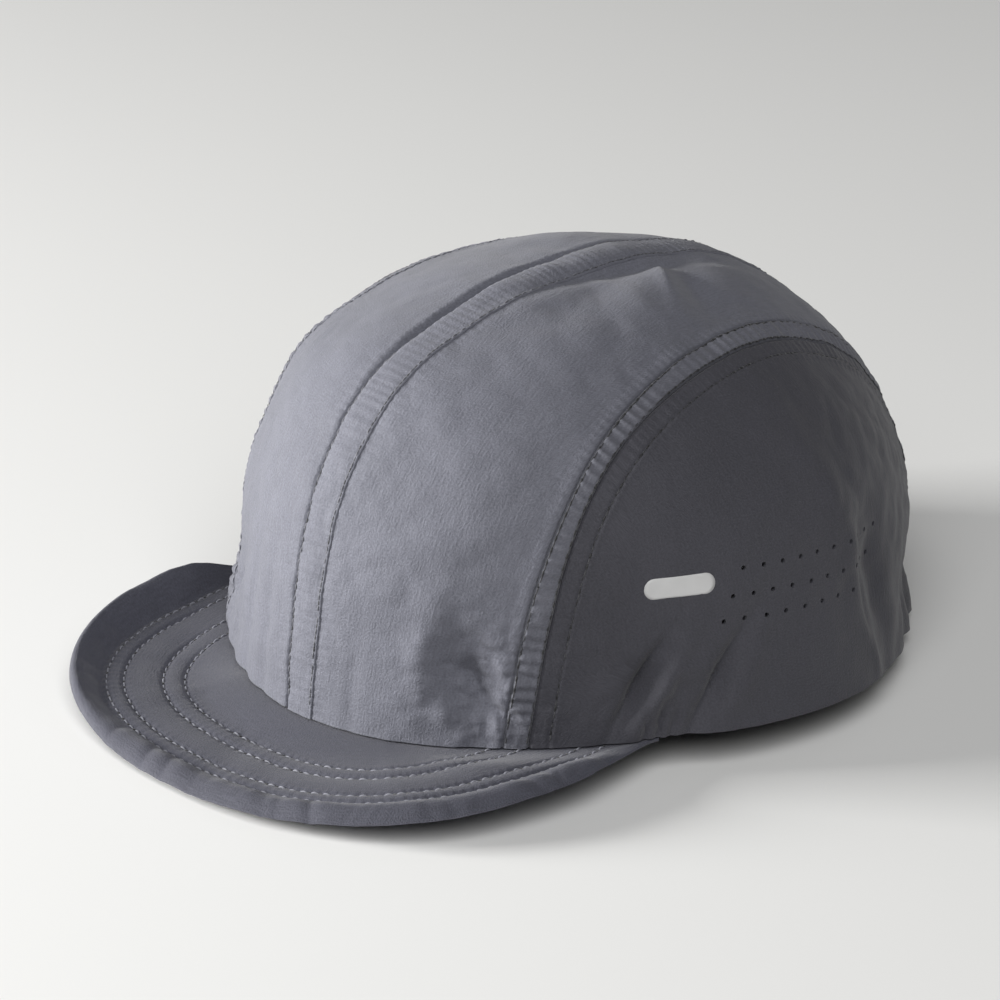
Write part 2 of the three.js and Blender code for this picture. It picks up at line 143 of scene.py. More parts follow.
# Air holes of a side panel: turn and lift of a row's first hole, lift from hole to hole, count;
# the turn from hole to hole; and the length of the rods that punch them, in metres
HOLE_STEP = 4.3
HOLE_ROD = 0.008
HOLE_EDGE_ANGLE = 50
HOLE_ROWS = [(72.8, 25.4, -0.16, 10), (70.4, 21.0, -0.15, 10), (68.6, 17.0, -0.1, 8)]

# Brim: in plan a rounded outline about a centre behind its tip, with a flat field and a rim at
# heights by turn, and stitch lines at distances in from the outline
BRIM = {"half_width": 74.0, "centre": -68.1, "reach": 72.3, "heel": 43.4, "roundness": 2.49}
BRIM_TURN = 105
BRIM_ROOT_TURN = 57
BRIM_ROOT_INSET = 2.2
BRIM_THICKNESS = 3.6
RIM_BAND = 12
ROOT_BAND = 14
BRIM_TURNS = [-105, -75, -50, -25, 0, 25, 50, 75, 105]
BRIM_FIELD = [8.6, 7.2, 5.9, 4.3, 3.6, 5.6, 9.0, 9.6, 9.2]
BRIM_RIM = [12.6, 11.4, 8.2, 4.8, 3.4, 4.5, 7.4, 9.4, 9.4]
BRIM_STITCH_LINES = (10.2, 14.45, 24.0, 29.3)

# How far the padded rim draws in from the outline and how thick it is, and how its ends narrow
RIM_DRAW = [0.3, 0.5, 1.0, 1.8, 1.5, 2.0, 2.4, 3.0, 4.0]
RIM_THICKNESS = [3.6, 3.6, 3.6, 3.4, 2.6, 1.3, 1.0, 1.0, 1.0]
BRIM_END = {"length": 20, "share": 0.3}

# The frame's box places the hem ring: the brim's tip is its front
SHIFT = np.array([0, CAD_BOX[0][1] / MM - (BRIM["centre"] - BRIM["reach"]), 0])


def lerp(a, b, t):
    return a + (b - a) * t


def smoothstep(value, low, high):
    t = np.clip((value - low) / (high - low), 0, 1)
    return t * t * (3 - 2 * t)


def bell(value, width):
    return np.exp(-((value / width) ** 2))


def size_of(vectors):
    return np.linalg.norm(vectors, axis=-1)


def unit(vectors):
    return vectors / np.maximum(size_of(vectors), 1e-12)[..., None]


def distance_along(points):
    """Distance from the first point to each, along the line."""
    return np.concatenate([[0], np.cumsum(size_of(np.diff(points, axis=0)))])


class Curve:
    """A smooth curve through rows of places and values, with no bend at its two ends."""

    def __init__(self, places, values):
        self.places, self.values = np.array(places, float), np.array(values, float)
        gaps = np.diff(self.places)
        slopes = np.diff(self.values) / gaps
        system = np.eye(len(places))
        turns = np.zeros(len(places))
        for i in range(1, len(places) - 1):
            system[i, i - 1 : i + 2] = gaps[i - 1], 2 * (gaps[i - 1] + gaps[i]), gaps[i]
            turns[i] = 6 * (slopes[i] - slopes[i - 1])
        self.bend = np.linalg.solve(system, turns)

    def __call__(self, place):
        place = np.asarray(place, float)
        i = np.clip(np.searchsorted(self.places, place) - 1, 0, len(self.places) - 2)
        span = self.places[i + 1] - self.places[i]
        right = (place - self.places[i]) / span
        left = 1 - right
        curve = (left**3 - left) * self.bend[i] + (right**3 - right) * self.bend[i + 1]
        return left * self.values[i] + right * self.values[i + 1] + curve * span**2 / 6


REACH_AT = {way: Curve(CROWN_LIFTS, reach) for way, reach in CROWN_REACH.items()}
ARCH_AT = {line: Curve(ARCH_ALONG, out) for line, out in ARCH_OUT.items()}
BRIM_ROWS = {"field": BRIM_FIELD, "rim": BRIM_RIM, "draw": RIM_DRAW, "thickness": RIM_THICKNESS}
BRIM_AT = {name: Curve(BRIM_TURNS, row) for name, row in BRIM_ROWS.items()}


def ripple(place, pitch, seed):
    """A smooth line that wanders between -1 and 1, a pitch from knot to knot."""
    knots = np.random.default_rng(SEED + seed).uniform(-1, 1, 512)
    at = np.asarray(place) / pitch + 100
    i = np.floor(at).astype(int)
    here, after = knots[i % len(knots)], knots[(i + 1) % len(knots)]
    return lerp(here, after, smoothstep(at - i, 0, 1))


def wander(points, size, seed, waves=24):
    """Soft unevenness of about that size, with a spread of one."""
    rng = np.random.default_rng(SEED + seed)
    total = np.zeros(points.shape[:-1])
    for _ in range(waves):
        way = unit(rng.normal(size=3)) * 2 * np.pi / (size * rng.uniform(0.7, 1.4))
        total += np.cos(points @ way + rng.uniform(0, 2 * np.pi))
    return total / math.sqrt(waves / 2)


# The smooth crown

def hem_height(turn):
    front, side, back = HEM_HEIGHT["front"], HEM_HEIGHT["side"], HEM_HEIGHT["back"]
    angle = np.radians(turn)
    middle = (front + back) / 4 + side / 2
    swing = (front + back) / 4 - side / 2
    return np.maximum(0, middle + (front - back) / 2 * np.cos(angle) + swing * np.cos(2 * angle))


def crown_point(turn, lift):
    angle = np.radians(turn)
    ahead, aside = np.cos(angle), np.sin(angle)
    reach = np.maximum(np.where(ahead > 0, REACH_AT["front"](lift), REACH_AT["back"](lift)), 1e-6)
    side = np.maximum(REACH_AT["side"](lift), 1e-6)
    flattening = lerp(HEM_FLATTENING, 0, lift / 90) * np.sin(2 * angle) ** 2
    radius = (1 - flattening) / np.hypot(ahead / reach, aside / side)
    rise = np.sin(np.radians(lift))
    height = lerp(hem_height(turn), CROWN_HEIGHT, rise)
    return np.stack([radius * aside, TOP_SHIFT * rise**2 - radius * ahead, height], -1)


def turn_and_lift(places):
    """Of places on the flat map of the crown: its middle is the top, its rim at 1 the hem."""
    across, down = places[..., 0], places[..., 1]
    return np.degrees(np.arctan2(across, -down)), 90 * (1 - np.hypot(across, down))


def map_place(turn, lift):
    angle, radius = np.radians(turn), 1 - np.asarray(lift) / 90
    return np.stack([radius * np.sin(angle), -radius * np.cos(angle)], -1)


def smooth_crown(places):
    return crown_point(*turn_and_lift(places))


def crown_normal(places):
    step = 1e-3
    far = np.maximum(np.hypot(places[..., 0], places[..., 1]), step)
    inside = places * np.minimum(1, (1 - 2 * step) / far)[..., None]
    sideways, backwards = np.array([step, 0]), np.array([0, step])
    a = smooth_crown(inside + sideways) - smooth_crown(inside - sideways)
    b = smooth_crown(inside + backwards) - smooth_crown(inside - backwards)
    return unit(np.cross(a, b))


def along_map(along, across):
    down = (2 * along - 1) * np.sqrt(1 - across**2)
    return np.stack(np.broadcast_arrays(across, down), -1)


def place_at(along, out):
    """The place a share along from front hem to back hem and that many mm out from the middle."""
    along, out = np.broadcast_arrays(np.asarray(along, float), np.asarray(out, float))
    low, high = np.zeros(along.shape), np.full(along.shape, 0.98)
    for _ in range(40):
        guess = (low + high) / 2
        short = smooth_crown(along_map(along, guess))[..., 0] < np.abs(out)
        low, high = np.where(short, guess, low), np.where(short, high, guess)
    return along_map(along, np.sign(out) * low)


def strip_half_width(along):
    return lerp(STRIP_HALF_WIDTH["hem"], STRIP_HALF_WIDTH["top"], np.sin(np.pi * along))


# Folds and gathers

def axes_at(turn, lift):
    """A point of the crown and the ways round it and up it."""
    middle, step = crown_point(turn, lift), 0.05
    sideways, up = crown_point(turn + step, lift), crown_point(turn, lift + step)
    return middle, unit(sideways - middle), unit(up - middle)


@lru_cache(maxsize=None)
def fold_frames():
    frames = []
    for turn, lift, heading, *shape in FOLDS.values():
        middle, sideways, up = axes_at(turn, lift)
        ahead, aside = math.cos(math.radians(heading)), math.sin(math.radians(heading))
        along, across = unit(up * ahead + sideways * aside), unit(sideways * ahead - up * aside)
        frames.append((middle, along, across, *shape))
    return frames


def fold_rise(points):
    rise = np.zeros(points.shape[:-1])
    for middle, along, across, length, width, depth, sharpness in fold_frames():
        away = points - middle
        near = size_of(away) < 2.5 * (length + width)
        off_fold = np.abs(away @ across) / width
        rise += near * depth * np.exp(-(((away @ along) / length) ** 2) - off_fold**sharpness)
    return rise


def crumple_rise(points):
    """Sharp little valleys where a soft unevenness changes its sign."""
    rise = np.zeros(points.shape[:-1])
    for number, (turn, lift, reach, depth, size) in enumerate(CRUMPLES):
        spot = bell(size_of(points - crown_point(turn, lift)), reach)
        facets = np.abs(wander(points, size, 40 + number))
        facets += 0.5 * np.abs(wander(points, size / 2, 60 + number))
        rise += depth * spot * (facets - 1)
    return rise


def gather_rise(points, turn):
    pulled = smoothstep(np.abs(turn), GATHER["from"], GATHER["full"])
    above = points[..., 2] - hem_height(turn)
    along_hem = np.radians(turn) * CROWN_REACH["back"][0]
    ruffle = GATHER["depth"] * np.cos(2 * np.pi * along_hem / GATHER["pitch"])
    pinch = PINCH["depth"] * bell(above - PINCH["height"], PINCH["spread"])
    return pulled * (ruffle * bell(above, GATHER["height"]) + pinch)


# Seams

class NearestLine:
    """A line of points, and how far along it and beyond it a place lies."""

    def __init__(self, points, beyond_of):
        self.points, self.along = points, distance_along(points)
        self.tangents = unit(np.gradient(points, axis=0))
        self.beyond = beyond_of(self.tangents)

    def measure(self, places):
        flat = places.reshape(-1, places.shape[-1])
        half_squares = (self.points**2).sum(1) / 2
        parts = np.array_split(flat, max(1, len(flat) // 4000))
        k = np.concatenate([np.argmax(part @ self.points.T - half_squares, axis=1) for part in parts])
        away = flat - self.points[k]
        along = self.along[k] + (away * self.tangents[k]).sum(1)
        beyond = (away * self.beyond[k]).sum(1)
        return along.reshape(places.shape[:-1]), beyond.reshape(places.shape[:-1])


SEAM_ALONG = np.linspace(0, 1, 900)


@lru_cache(maxsize=None)
def seam(line, side):
    out = strip_half_width(SEAM_ALONG) if line == "strip" else ARCH_AT[line](SEAM_ALONG)
    places = place_at(SEAM_ALONG, side * out)

    def beyond_of(tangents):
        beyond = unit(np.cross(tangents, crown_normal(places)))
        return beyond * np.sign(side * beyond[:, :1])

    return NearestLine(smooth_crown(places), beyond_of)


# Each cloth piece: its height over the smooth crown, and its puckers

def common_rise(points, turn):
    uneven = 0.22 * wander(points, 34, 1) + 0.08 * wander(points, 11, 2)
    return fold_rise(points) + crumple_rise(points) + gather_rise(points, turn) + uneven


# What a seam does to a piece: its level, bells at a distance in from the edge (distance, width,
# height) and steps that end within a distance from it (full until, gone by, height), all in mm
SEAM_PROFILES = {
    "panel at the ditch": (0, [(1.8, 1.4, 0.1)], [(-0.3, 0.7, -1.0)]),
    "panel under the strip": (0, [(1.0, 1.6, -0.05)], [(-0.6, -0.1, -0.8)]),
    "panel at the arch": (0, [(1.7, 1.4, 0.2)], [(-0.4, 0.7, -1.0)]),
    "strip's right": (0, [], [(-0.2, 0.8, -1.1)]),
    "strip's left": (0.3, [(0.3, 0.5, 0.1), (0.8, 0.4, -0.12)], [(-0.1, 0.3, -0.3)]),
    "binding's outside": (0.28, [], [(-0.2, 0.6, -0.9)]),
    "binding's inside": (0, [], [(-0.2, 0.6, -0.8)]),
    "side panel": (0, [(5.6, 0.6, 0.2), (4.7, 0.45, -0.28)], [(4.9, 5.8, 0.18), (-0.2, 0.8, -1.0)]),
    "rim turned up": (0.5, [(8.4, 3.0, -1.9)], [(0.3, 6, 1.3)]),
    "rim turned down": (0, [], [(0, 7, -0.9)]),
}


def profile(name, distance):
    level, bells, steps = SEAM_PROFILES[name]
    rise = level + sum(height * bell(distance - at, width) for at, width, height in bells)
    return rise + sum(height * (1 - smoothstep(distance, full, gone)) for full, gone, height in steps)


def ditch_rise(s, d):
    return DITCH["depth"] * bell(s - DITCH["middle"], DITCH["length"]) * bell(d, DITCH["width"])


def crown_panel_rise(points, side):
    """Under the strip's edge on the wearer's left, and along the ditch on the right."""
    s_strip, d_strip = seam("strip", side).measure(points)
    s_arch, beyond = seam("seam", side).measure(points)
    if side > 0:
        rise = profile("panel under the strip", d_strip)
    else:
        rise = profile("panel at the ditch", d_strip) + ditch_rise(s_strip, d_strip)
    return rise + profile("panel at the arch", -beyond), {
        "place": np.where(d_strip < -beyond, s_strip + 0.9 * ripple(s_strip, 9, 3), s_arch),
        "strength": 0.35 * bell(d_strip - 1, 3.2) + 0.5 * bell(-beyond - 1, 3.0),
    }


def strip_rise(points, half):
    out = points[..., 0]
    s, _ = seam("strip", 1).measure(points)
    rise = profile("strip's left", half - out) + profile("strip's right", out + half)
    rise += 0.12 * bell(out, 3) + ditch_rise(s, out + half)
    inside = smoothstep(half - np.abs(out), 0, 1.2)
    return rise, {
        "place": s + 0.8 * ripple(s, 8, 5), "strength": (0.45 + 0.25 * ripple(s, 11, 7)) * inside,
    }


def binding_rise(points, side):
    s, d_seam = seam("seam", side).measure(points)
    d_panel = -seam("panel", side).measure(points)[1]
    rise = profile("binding's outside", d_seam) + profile("binding's inside", d_panel)
    front = smoothstep(s, 4, 14) * (1 - 0.45 * smoothstep(s, 85, 150))
    strength = (0.25 + 0.75 * front) * (0.55 + 0.45 * ripple(s, 13, 8))
    return rise + 0.1 * bell(d_seam - d_panel, 2.4), {
        "place": 0.75 * s + 0.5 * ripple(s, 6, 9),
        "strength": 2.8 * strength * smoothstep(np.minimum(d_seam, d_panel), 0, 1),
    }


def side_panel_rise(points, side):
    s, d = seam("panel", side).measure(points)
    return profile("side panel", d), {
        "place": s + 0.9 * ripple(s, 9, 12),
        "strength": 0.6 * bell(d - 2.4, 2.2) + 0.3 * bell(d - 6, 2.5),
    }


PUCKER_PITCH = 2.4
PUCKER_DEPTH = 0.17


def pucker_wave(puckers):
    wave = np.sin(2 * np.pi * puckers["place"] / PUCKER_PITCH) * puckers["strength"]
    return (PUCKER_DEPTH * wave)[..., None]


class Cloth:
    """A grid of map places, with its outer and inner faces, and what its mesh carries."""

    def __init__(self, places, wall, rise_of):
        self.places = places
        smooth = smooth_crown(places)
        self.turn, _ = turn_and_lift(places)
        self.outwards = crown_normal(places)
        common = common_rise(smooth, self.turn)
        own, self.puckers = rise_of(smooth)
        rise = common + own
        self.outer = smooth + self.outwards * rise[..., None]
        self.inner = smooth + self.outwards * np.minimum(common - wall, rise - 0.3)[..., None]
        on_hem = np.hypot(places[..., 0], places[..., 1]) > 1 - 1e-6
        for face, lift in ((self.outer, 0.25), (self.inner, 0)):
            face[on_hem, 2] = np.maximum(hem_height(self.turn[on_hem]), 0.1) + lift
            face[..., 2] = np.maximum(face[..., 2], 0.1)

    def puckered(self):
        return self.outer + self.outwards * pucker_wave(self.puckers)


# Steps of a piece's grid along and across it, and how closely they crowd towards its edges
GRID_STEPS = {
    "crown panel": (600, 60, 0.72), "strip": (760, 25, 0.4), "binding": (1000, 12, 0),
}
SIDE_PANEL_STEPS = {"up": 110, "back": 250}


def near_edges(count, closeness, both=True):
    """Shares from 0 to 1 that crowd towards both ends, or towards the last."""
    t = np.linspace(0, 1, count)
    if both:
        return t - closeness * np.sin(2 * np.pi * t) / (2 * np.pi)
    return t + closeness * np.sin(np.pi * t) / np.pi


def sewn_grid(piece, out_from, out_to):
    """Rows of map places between two seams, each given as mm out from the middle."""
    rows, columns, closeness = GRID_STEPS[piece]
    along = np.linspace(0, 1, rows)
    start, end = place_at(along, out_from(along)), place_at(along, out_to(along))
    across = lerp(start[:, :1], end[:, :1], near_edges(columns, closeness))
    return along_map(np.broadcast_to(along[:, None], across.shape), across)


@lru_cache(maxsize=None)
def crown_panel_cloth(side, wall):
    places = sewn_grid(
        "crown panel", lambda along: side * (strip_half_width(along) - SEAM_ALLOWANCE),
        lambda along: side * (ARCH_AT["seam"](along) + SEAM_ALLOWANCE / 2),
    )
    return Cloth(places, wall, lambda points: crown_panel_rise(points, side))


@lru_cache(maxsize=None)
def strip_cloth(wall):
    places = sewn_grid("strip", lambda along: -strip_half_width(along), strip_half_width)
    half = strip_half_width(np.linspace(0, 1, len(places)))[:, None]
    return Cloth(places, wall, lambda points: strip_rise(points, half))


@lru_cache(maxsize=None)
def binding_cloth(side, wall):
    places = sewn_grid(
        "binding", lambda along: side * ARCH_AT["seam"](along),
        lambda along: side * ARCH_AT["panel"](along),
    )
    return Cloth(places, wall, lambda points: binding_rise(points, side))


@lru_cache(maxsize=None)
def side_panel_cloth(side, wall):
    """The D-shaped panel: its four sides are the hem, the arch's two legs and the arch's top."""
    up = near_edges(SIDE_PANEL_STEPS["up"], 0.6, both=False)
    back = near_edges(SIDE_PANEL_STEPS["back"], 0.5)

    def arch(along):
        return place_at(along, side * (ARCH_AT["panel"](along) - SEAM_ALLOWANCE / 2))

    front_leg = arch(up * SHOULDER["front"])
    back_leg = arch(1 - up * (1 - SHOULDER["back"]))
    top = arch(lerp(SHOULDER["front"], SHOULDER["back"], back))
    ends = turn_and_lift(np.stack([front_leg[0], back_leg[0]]))[0]
    hem = map_place(lerp(ends[0], ends[1], back), 0)
    u, b = up[:, None, None], back[None, :, None]
    corners = lerp(lerp(hem[0], hem[-1], b), lerp(top[0], top[-1], b), u)
    ruled = lerp(hem[None], top[None], u) + lerp(front_leg[:, None], back_leg[:, None], b)
    return Cloth(ruled - corners, wall, lambda points: side_panel_rise(points, side))


# Meshes

def mesh_from(name, points, faces, uv=None, attributes=None, edges=()):
    """A mesh of points in mm, with real-size UVs and attributes on its points."""
    mesh = bpy.data.meshes.new(name)
    places = ((points.reshape(-1, 3) + SHIFT) * MM).tolist()
    mesh.from_pydata(places, edges, [tuple(face) for face in faces])
    if uv is not None:
        corner = np.zeros(len(mesh.loops), np.int32)
        mesh.loops.foreach_get("vertex_index", corner)
        flat = (uv.reshape(-1, 2)[corner] * MM).astype(np.float32)
        mesh.uv_layers.new(name="RealSize").data.foreach_set("uv", flat.ravel())
    for title, values in (attributes or {}).items():
        kind, field = ("FLOAT_VECTOR", "vector") if values.ndim == 2 else ("FLOAT", "value")
        attribute = mesh.attributes.new(title, kind, "POINT")
        attribute.data.foreach_set(field, values.astype(np.float32).ravel())
    mesh.shade_smooth()
    mesh.update()
    return mesh


def outward(points, faces):
    """The faces, turned round where they enclose the points inside out."""
    corners = points.reshape(-1, 3)[faces[:, :3]]
    volume = np.einsum("ij,ij->", corners[:, 0], np.cross(corners[:, 1], corners[:, 2]))
    return faces[:, ::-1] if volume < 0 else faces


def quads(a, b, c, d):
    return np.stack([a, b, c, d], -1).reshape(-1, 4)


def grid_uv(points):
    """Distances in mm across and along a grid, measured on it."""
    across = np.cumsum(size_of(np.diff(points, axis=1, prepend=points[:, :1])), axis=1)
    along = np.cumsum(size_of(np.diff(points, axis=0, prepend=points[:1])), axis=0)
    return np.stack([across - across[:, points.shape[1] // 2][:, None], along], -1)


def cloth_mesh(name, cloth):
    """The outer and inner faces of a cloth with walls round their edges."""
    rows, columns = cloth.outer.shape[:2]
    count = rows * columns
    index = np.arange(count).reshape(rows, columns)
    top = quads(index[:-1, :-1], index[:-1, 1:], index[1:, 1:], index[1:, :-1])
    edge = np.concatenate([index[0, :-1], index[:-1, -1], index[-1, :0:-1], index[:0:-1, 0]])
    after = np.roll(edge, -1)
    wall = quads(after, edge, edge + count, after + count)
    points = np.stack([cloth.outer, cloth.inner]).reshape(-1, 3)
    faces = outward(points, np.concatenate([top, top[:, ::-1] + count, wall]))
    outside = np.repeat([1.0, 0.0], count)
    return mesh_from(name, points, faces, np.tile(grid_uv(cloth.outer).reshape(-1, 2), (2, 1)), {
        "outwards": np.tile(cloth.outwards.reshape(-1, 3), (2, 1)),
        "pucker_place": np.tile(cloth.puckers["place"].ravel(), 2) * MM,
        "pucker_strength": np.tile(cloth.puckers["strength"].ravel(), 2) * outside,
    })


# Geometry Nodes

class Value:
    """A node's socket that takes part in sums."""

    def __init__(self, nodes, socket):
        self.nodes, self.socket = nodes, socket

    def math(self, operation, other=0.0, swap=False):
        pair = (other, self) if swap else (self, other)
        return self.nodes.node("ShaderNodeMath", {"operation": operation}, dict(enumerate(pair)))

    def __add__(self, other):
        return self.math("ADD", other)

    def __sub__(self, other):
        return self.math("SUBTRACT", other)

    def __rsub__(self, other):
        return self.math("SUBTRACT", other, swap=True)

    def __mul__(self, other):
        return self.math("MULTIPLY", other)

    def __truediv__(self, other):
        return self.math("DIVIDE", other)

    __radd__, __rmul__ = __add__, __mul__


class Nodes:
    """A node tree, and the one call that adds a node to it."""

    family = "ShaderNode"

    def __init__(self, tree):
        self.tree = tree

    def put(self, socket, value):
        for one in value if isinstance(value, list) else [value]:
            if isinstance(one, Value):
                self.tree.links.new(one.socket, socket)
            else:
                socket.default_value = one

    def node(self, kind, settings=None, sockets=None, out=0):
        node = self.tree.nodes.new(kind if "Node" in kind else self.family + kind)
        for title, value in (settings or {}).items():
            setattr(node, title, value)
        for title, value in (sockets or {}).items():
            self.put(node.inputs[title], value)
        return Value(self, node.outputs[out])


class Tree(Nodes):
    """A Geometry Nodes tree with named inputs, which ends in real geometry with one material."""

    family = "GeometryNode"

    def __init__(self, name, inputs):
        super().__init__(bpy.data.node_groups.new(name, "GeometryNodeTree"))
        self.tree.is_modifier = True
        inputs = {"Geometry": ("Geometry", None), **inputs, "Material": ("Material", None)}
        self.identifiers = {}
        for title, (kind, default) in inputs.items():
            socket = self.tree.interface.new_socket(
                title, in_out="INPUT", socket_type="NodeSocket" + kind
            )
            if default is not None:
                socket.default_value = default
            self.identifiers[title] = socket.identifier
        self.tree.interface.new_socket(
            "Geometry", in_out="OUTPUT", socket_type="NodeSocketGeometry"
        )
        given = self.tree.nodes.new("NodeGroupInput").outputs
        self.inputs = {title: Value(self, given[title]) for title in inputs}

    def carried(self, name, kind="FLOAT_VECTOR"):
        """What the mesh carries on its points under that name."""
        return self.node("InputNamedAttribute", {"data_type": kind}, {"Name": name})

    def finish(self, geometry):
        real = self.node("RealizeInstances", None, {"Geometry": geometry})
        painted = self.node(
            "SetMaterial", None, {"Geometry": real, "Material": self.inputs["Material"]}
        )
        self.put(self.tree.nodes.new("NodeGroupOutput").inputs[0], painted)
        return self

    def run(self, obj, values):
        """Sets the modifier's inputs and leaves the result as the object's plain mesh."""
        modifier = obj.modifiers.new(self.tree.name, "NODES")
        modifier.node_group = self.tree
        for title, value in values.items():
            modifier[self.identifiers[title]] = value
        bpy.context.view_layer.update()
        evaluated = obj.evaluated_get(bpy.context.evaluated_depsgraph_get())
        old, obj.data = obj.data, bpy.data.meshes.new_from_object(evaluated)
        obj.modifiers.remove(modifier)
        bpy.data.meshes.remove(old)
        obj.data.name = obj.name


@lru_cache(maxsize=None)
def pucker_tree():
    """Gathers a piece in small ridges that run across its seams."""
    tree = Tree("Seam Puckers", {
        "Pitch": ("Float", PUCKER_PITCH * MM), "Depth": ("Float", PUCKER_DEPTH * MM),
    })
    turns = tree.carried("pucker_place", "FLOAT") / tree.inputs["Pitch"]
    wave = (turns * (2 * math.pi)).math("SINE")
    height = wave * tree.carried("pucker_strength", "FLOAT") * tree.inputs["Depth"]
    offset = tree.node("ShaderNodeVectorMath", {"operation": "SCALE"}, {
        "Vector": tree.carried("outwards"), "Scale": height,
    })
    return tree.finish(tree.node("SetPosition", None, {
        "Geometry": tree.inputs["Geometry"], "Offset": offset,
    }))


@lru_cache(maxsize=None)
def punch_tree():
    """Cuts round air holes through a panel at the points of another object."""
    tree = Tree("Air Holes", {
        "Places": ("Object", None), "Diameter": ("Float", 0.0013), "Length": ("Float", HOLE_ROD),
    })
    places = tree.node(
        "ObjectInfo", {"transform_space": "ORIGINAL"}, {"Object": tree.inputs["Places"]}, "Geometry"
    )
    rod = tree.node("MeshCylinder", None, {
        "Vertices": 16, "Radius": tree.inputs["Diameter"] * 0.5, "Depth": tree.inputs["Length"],
    })
    facing = tree.node(
        "FunctionNodeAlignRotationToVector", {"axis": "Z"}, {"Vector": tree.carried("outwards")}
    )
    rods = tree.node("InstanceOnPoints", None, {
        "Points": places, "Instance": rod, "Rotation": facing,
    })
    return tree.finish(tree.node(
        "MeshBoolean", {"operation": "DIFFERENCE", "solver": "MANIFOLD"}, {
            "Mesh 1": tree.inputs["Geometry"],
            "Mesh 2": tree.node("RealizeInstances", None, {"Geometry": rods}),
        }
    ))


@lru_cache(maxsize=None)
def stitch_tree():
    """Lays short bowed threads end to end along each path, with a dark dot of painted shade for the needle
    hole between them; the thread carries its given share of painted shade.
    """
    tree = Tree("Stitches", {
        "Length": ("Float", 0.0019), "Gap": ("Float", 0.0011), "Thread": ("Float", 0.00048),
        "Hole Length": ("Float", 0.0006), "Hole Width": ("Float", 0.0004),
        "Shade": ("Float", 0.0), "Seed": ("Int", SEED),
    })
    given = tree.inputs
    pitch = given["Length"] + given["Gap"]
    path = tree.node("MeshToCurve", None, {"Mesh": given["Geometry"]})
    places = tree.node("ResampleCurve", {"mode": "LENGTH"}, {"Curve": path, "Length": pitch})
    ahead = tree.node(
        "FunctionNodeAlignRotationToVector", {"axis": "X"}, {"Vector": tree.node("InputTangent")}
    )
    facing = tree.node(
        "FunctionNodeAlignRotationToVector", {"axis": "Z", "pivot_axis": "X"},
        {"Rotation": ahead, "Vector": tree.carried("outwards")},
    )

    def spot(**coordinates):
        return tree.node("ShaderNodeCombineXYZ", None, coordinates)

    half, sink = given["Length"] * 0.5, given["Thread"] * -0.5
    bow = tree.node("CurveQuadraticBezier", None, {
        "Resolution": 4, "Start": spot(X=half * -1.0, Z=sink),
        "Middle": spot(Z=given["Thread"] * 1.4), "End": spot(X=half, Z=sink),
    })
    ring = tree.node(
        "CurvePrimitiveCircle", None, {"Resolution": 5, "Radius": given["Thread"] * 0.5}
    )
    thread = tree.node("CurveToMesh", None, {
        "Curve": bow, "Profile Curve": ring, "Fill Caps": True,
    })
    # The needle hole: a flat dark dot of painted shade
    hole = tree.node("Transform", None, {
        "Geometry": tree.node("MeshUVSphere", None, {"Segments": 6, "Rings": 3, "Radius": 0.5}),
        "Translation": spot(X=pitch * 0.5),
        "Scale": spot(X=given["Hole Length"], Y=given["Hole Width"], Z=0.0002),
    })
    # Stores the painted shade: full on the needle hole's dot, the given share on the thread
    both = [
        tree.node(
            "StoreNamedAttribute", {"data_type": "FLOAT", "domain": "POINT"},
            {"Geometry": part, "Name": "shade", "Value": painted_darkness},
        )
        for part, painted_darkness in ((hole, 1.0), (thread, given["Shade"]))
    ]
    size = tree.node("FunctionNodeRandomValue", {"data_type": "FLOAT_VECTOR"}, {
        "Min": (0.9, 0.9, 0.8), "Max": (1.06, 1.1, 1.1), "Seed": given["Seed"],
    })
    return tree.finish(tree.node("InstanceOnPoints", None, {
        "Points": places, "Instance": tree.node("JoinGeometry", None, {"Geometry": both}),
        "Rotation": facing, "Scale": size,
    }))


# Finishes

class Shading(Nodes):
    """A material, with what its surface is fed."""

    def __init__(self, name, constants):
        self.material = bpy.data.materials.new(name)
        self.material.use_nodes = True
        super().__init__(self.material.node_tree)
        self.surface = self.tree.nodes["Principled BSDF"].inputs
        for title, value in constants.items():
            self.surface[title].default_value = value

    def mix(self, factor, a, b):
        return self.node("Mix", {"data_type": "RGBA"}, {0: factor, 6: a, 7: b}, out=2)

    def noise(self, scale, detail):
        """Unevenness in the piece's own space."""
        place = self.node("TexCoord", out="Object")
        return self.node("TexNoise", None, {"Vector": place, "Scale": scale, "Detail": detail})

    def bump(self, strength, distance, height):
        raised = {"Strength": strength, "Distance": distance, "Height": height}
        self.put(self.surface["Normal"], self.node("Bump", None, raised))


def tinted(colour, share):
    return (*(min(1, c * share) for c in colour[:3]), 1)


# Woven cloth: width, length (mm) and detail of each unevenness, and its share in colour and height
YARNS = {
    "slubs": {"size": (0.6, 5), "detail": 2.0, "tone": 0.7, "height": 0.8},
    "grain": {"size": (0.55, 0.5), "detail": 3.0, "tone": 1.5, "height": 1.5},
    "clouds": {"size": (30, 50), "detail": 2.0, "tone": 0.5, "height": 0},
}
WEAVE_HEIGHT = 0.06


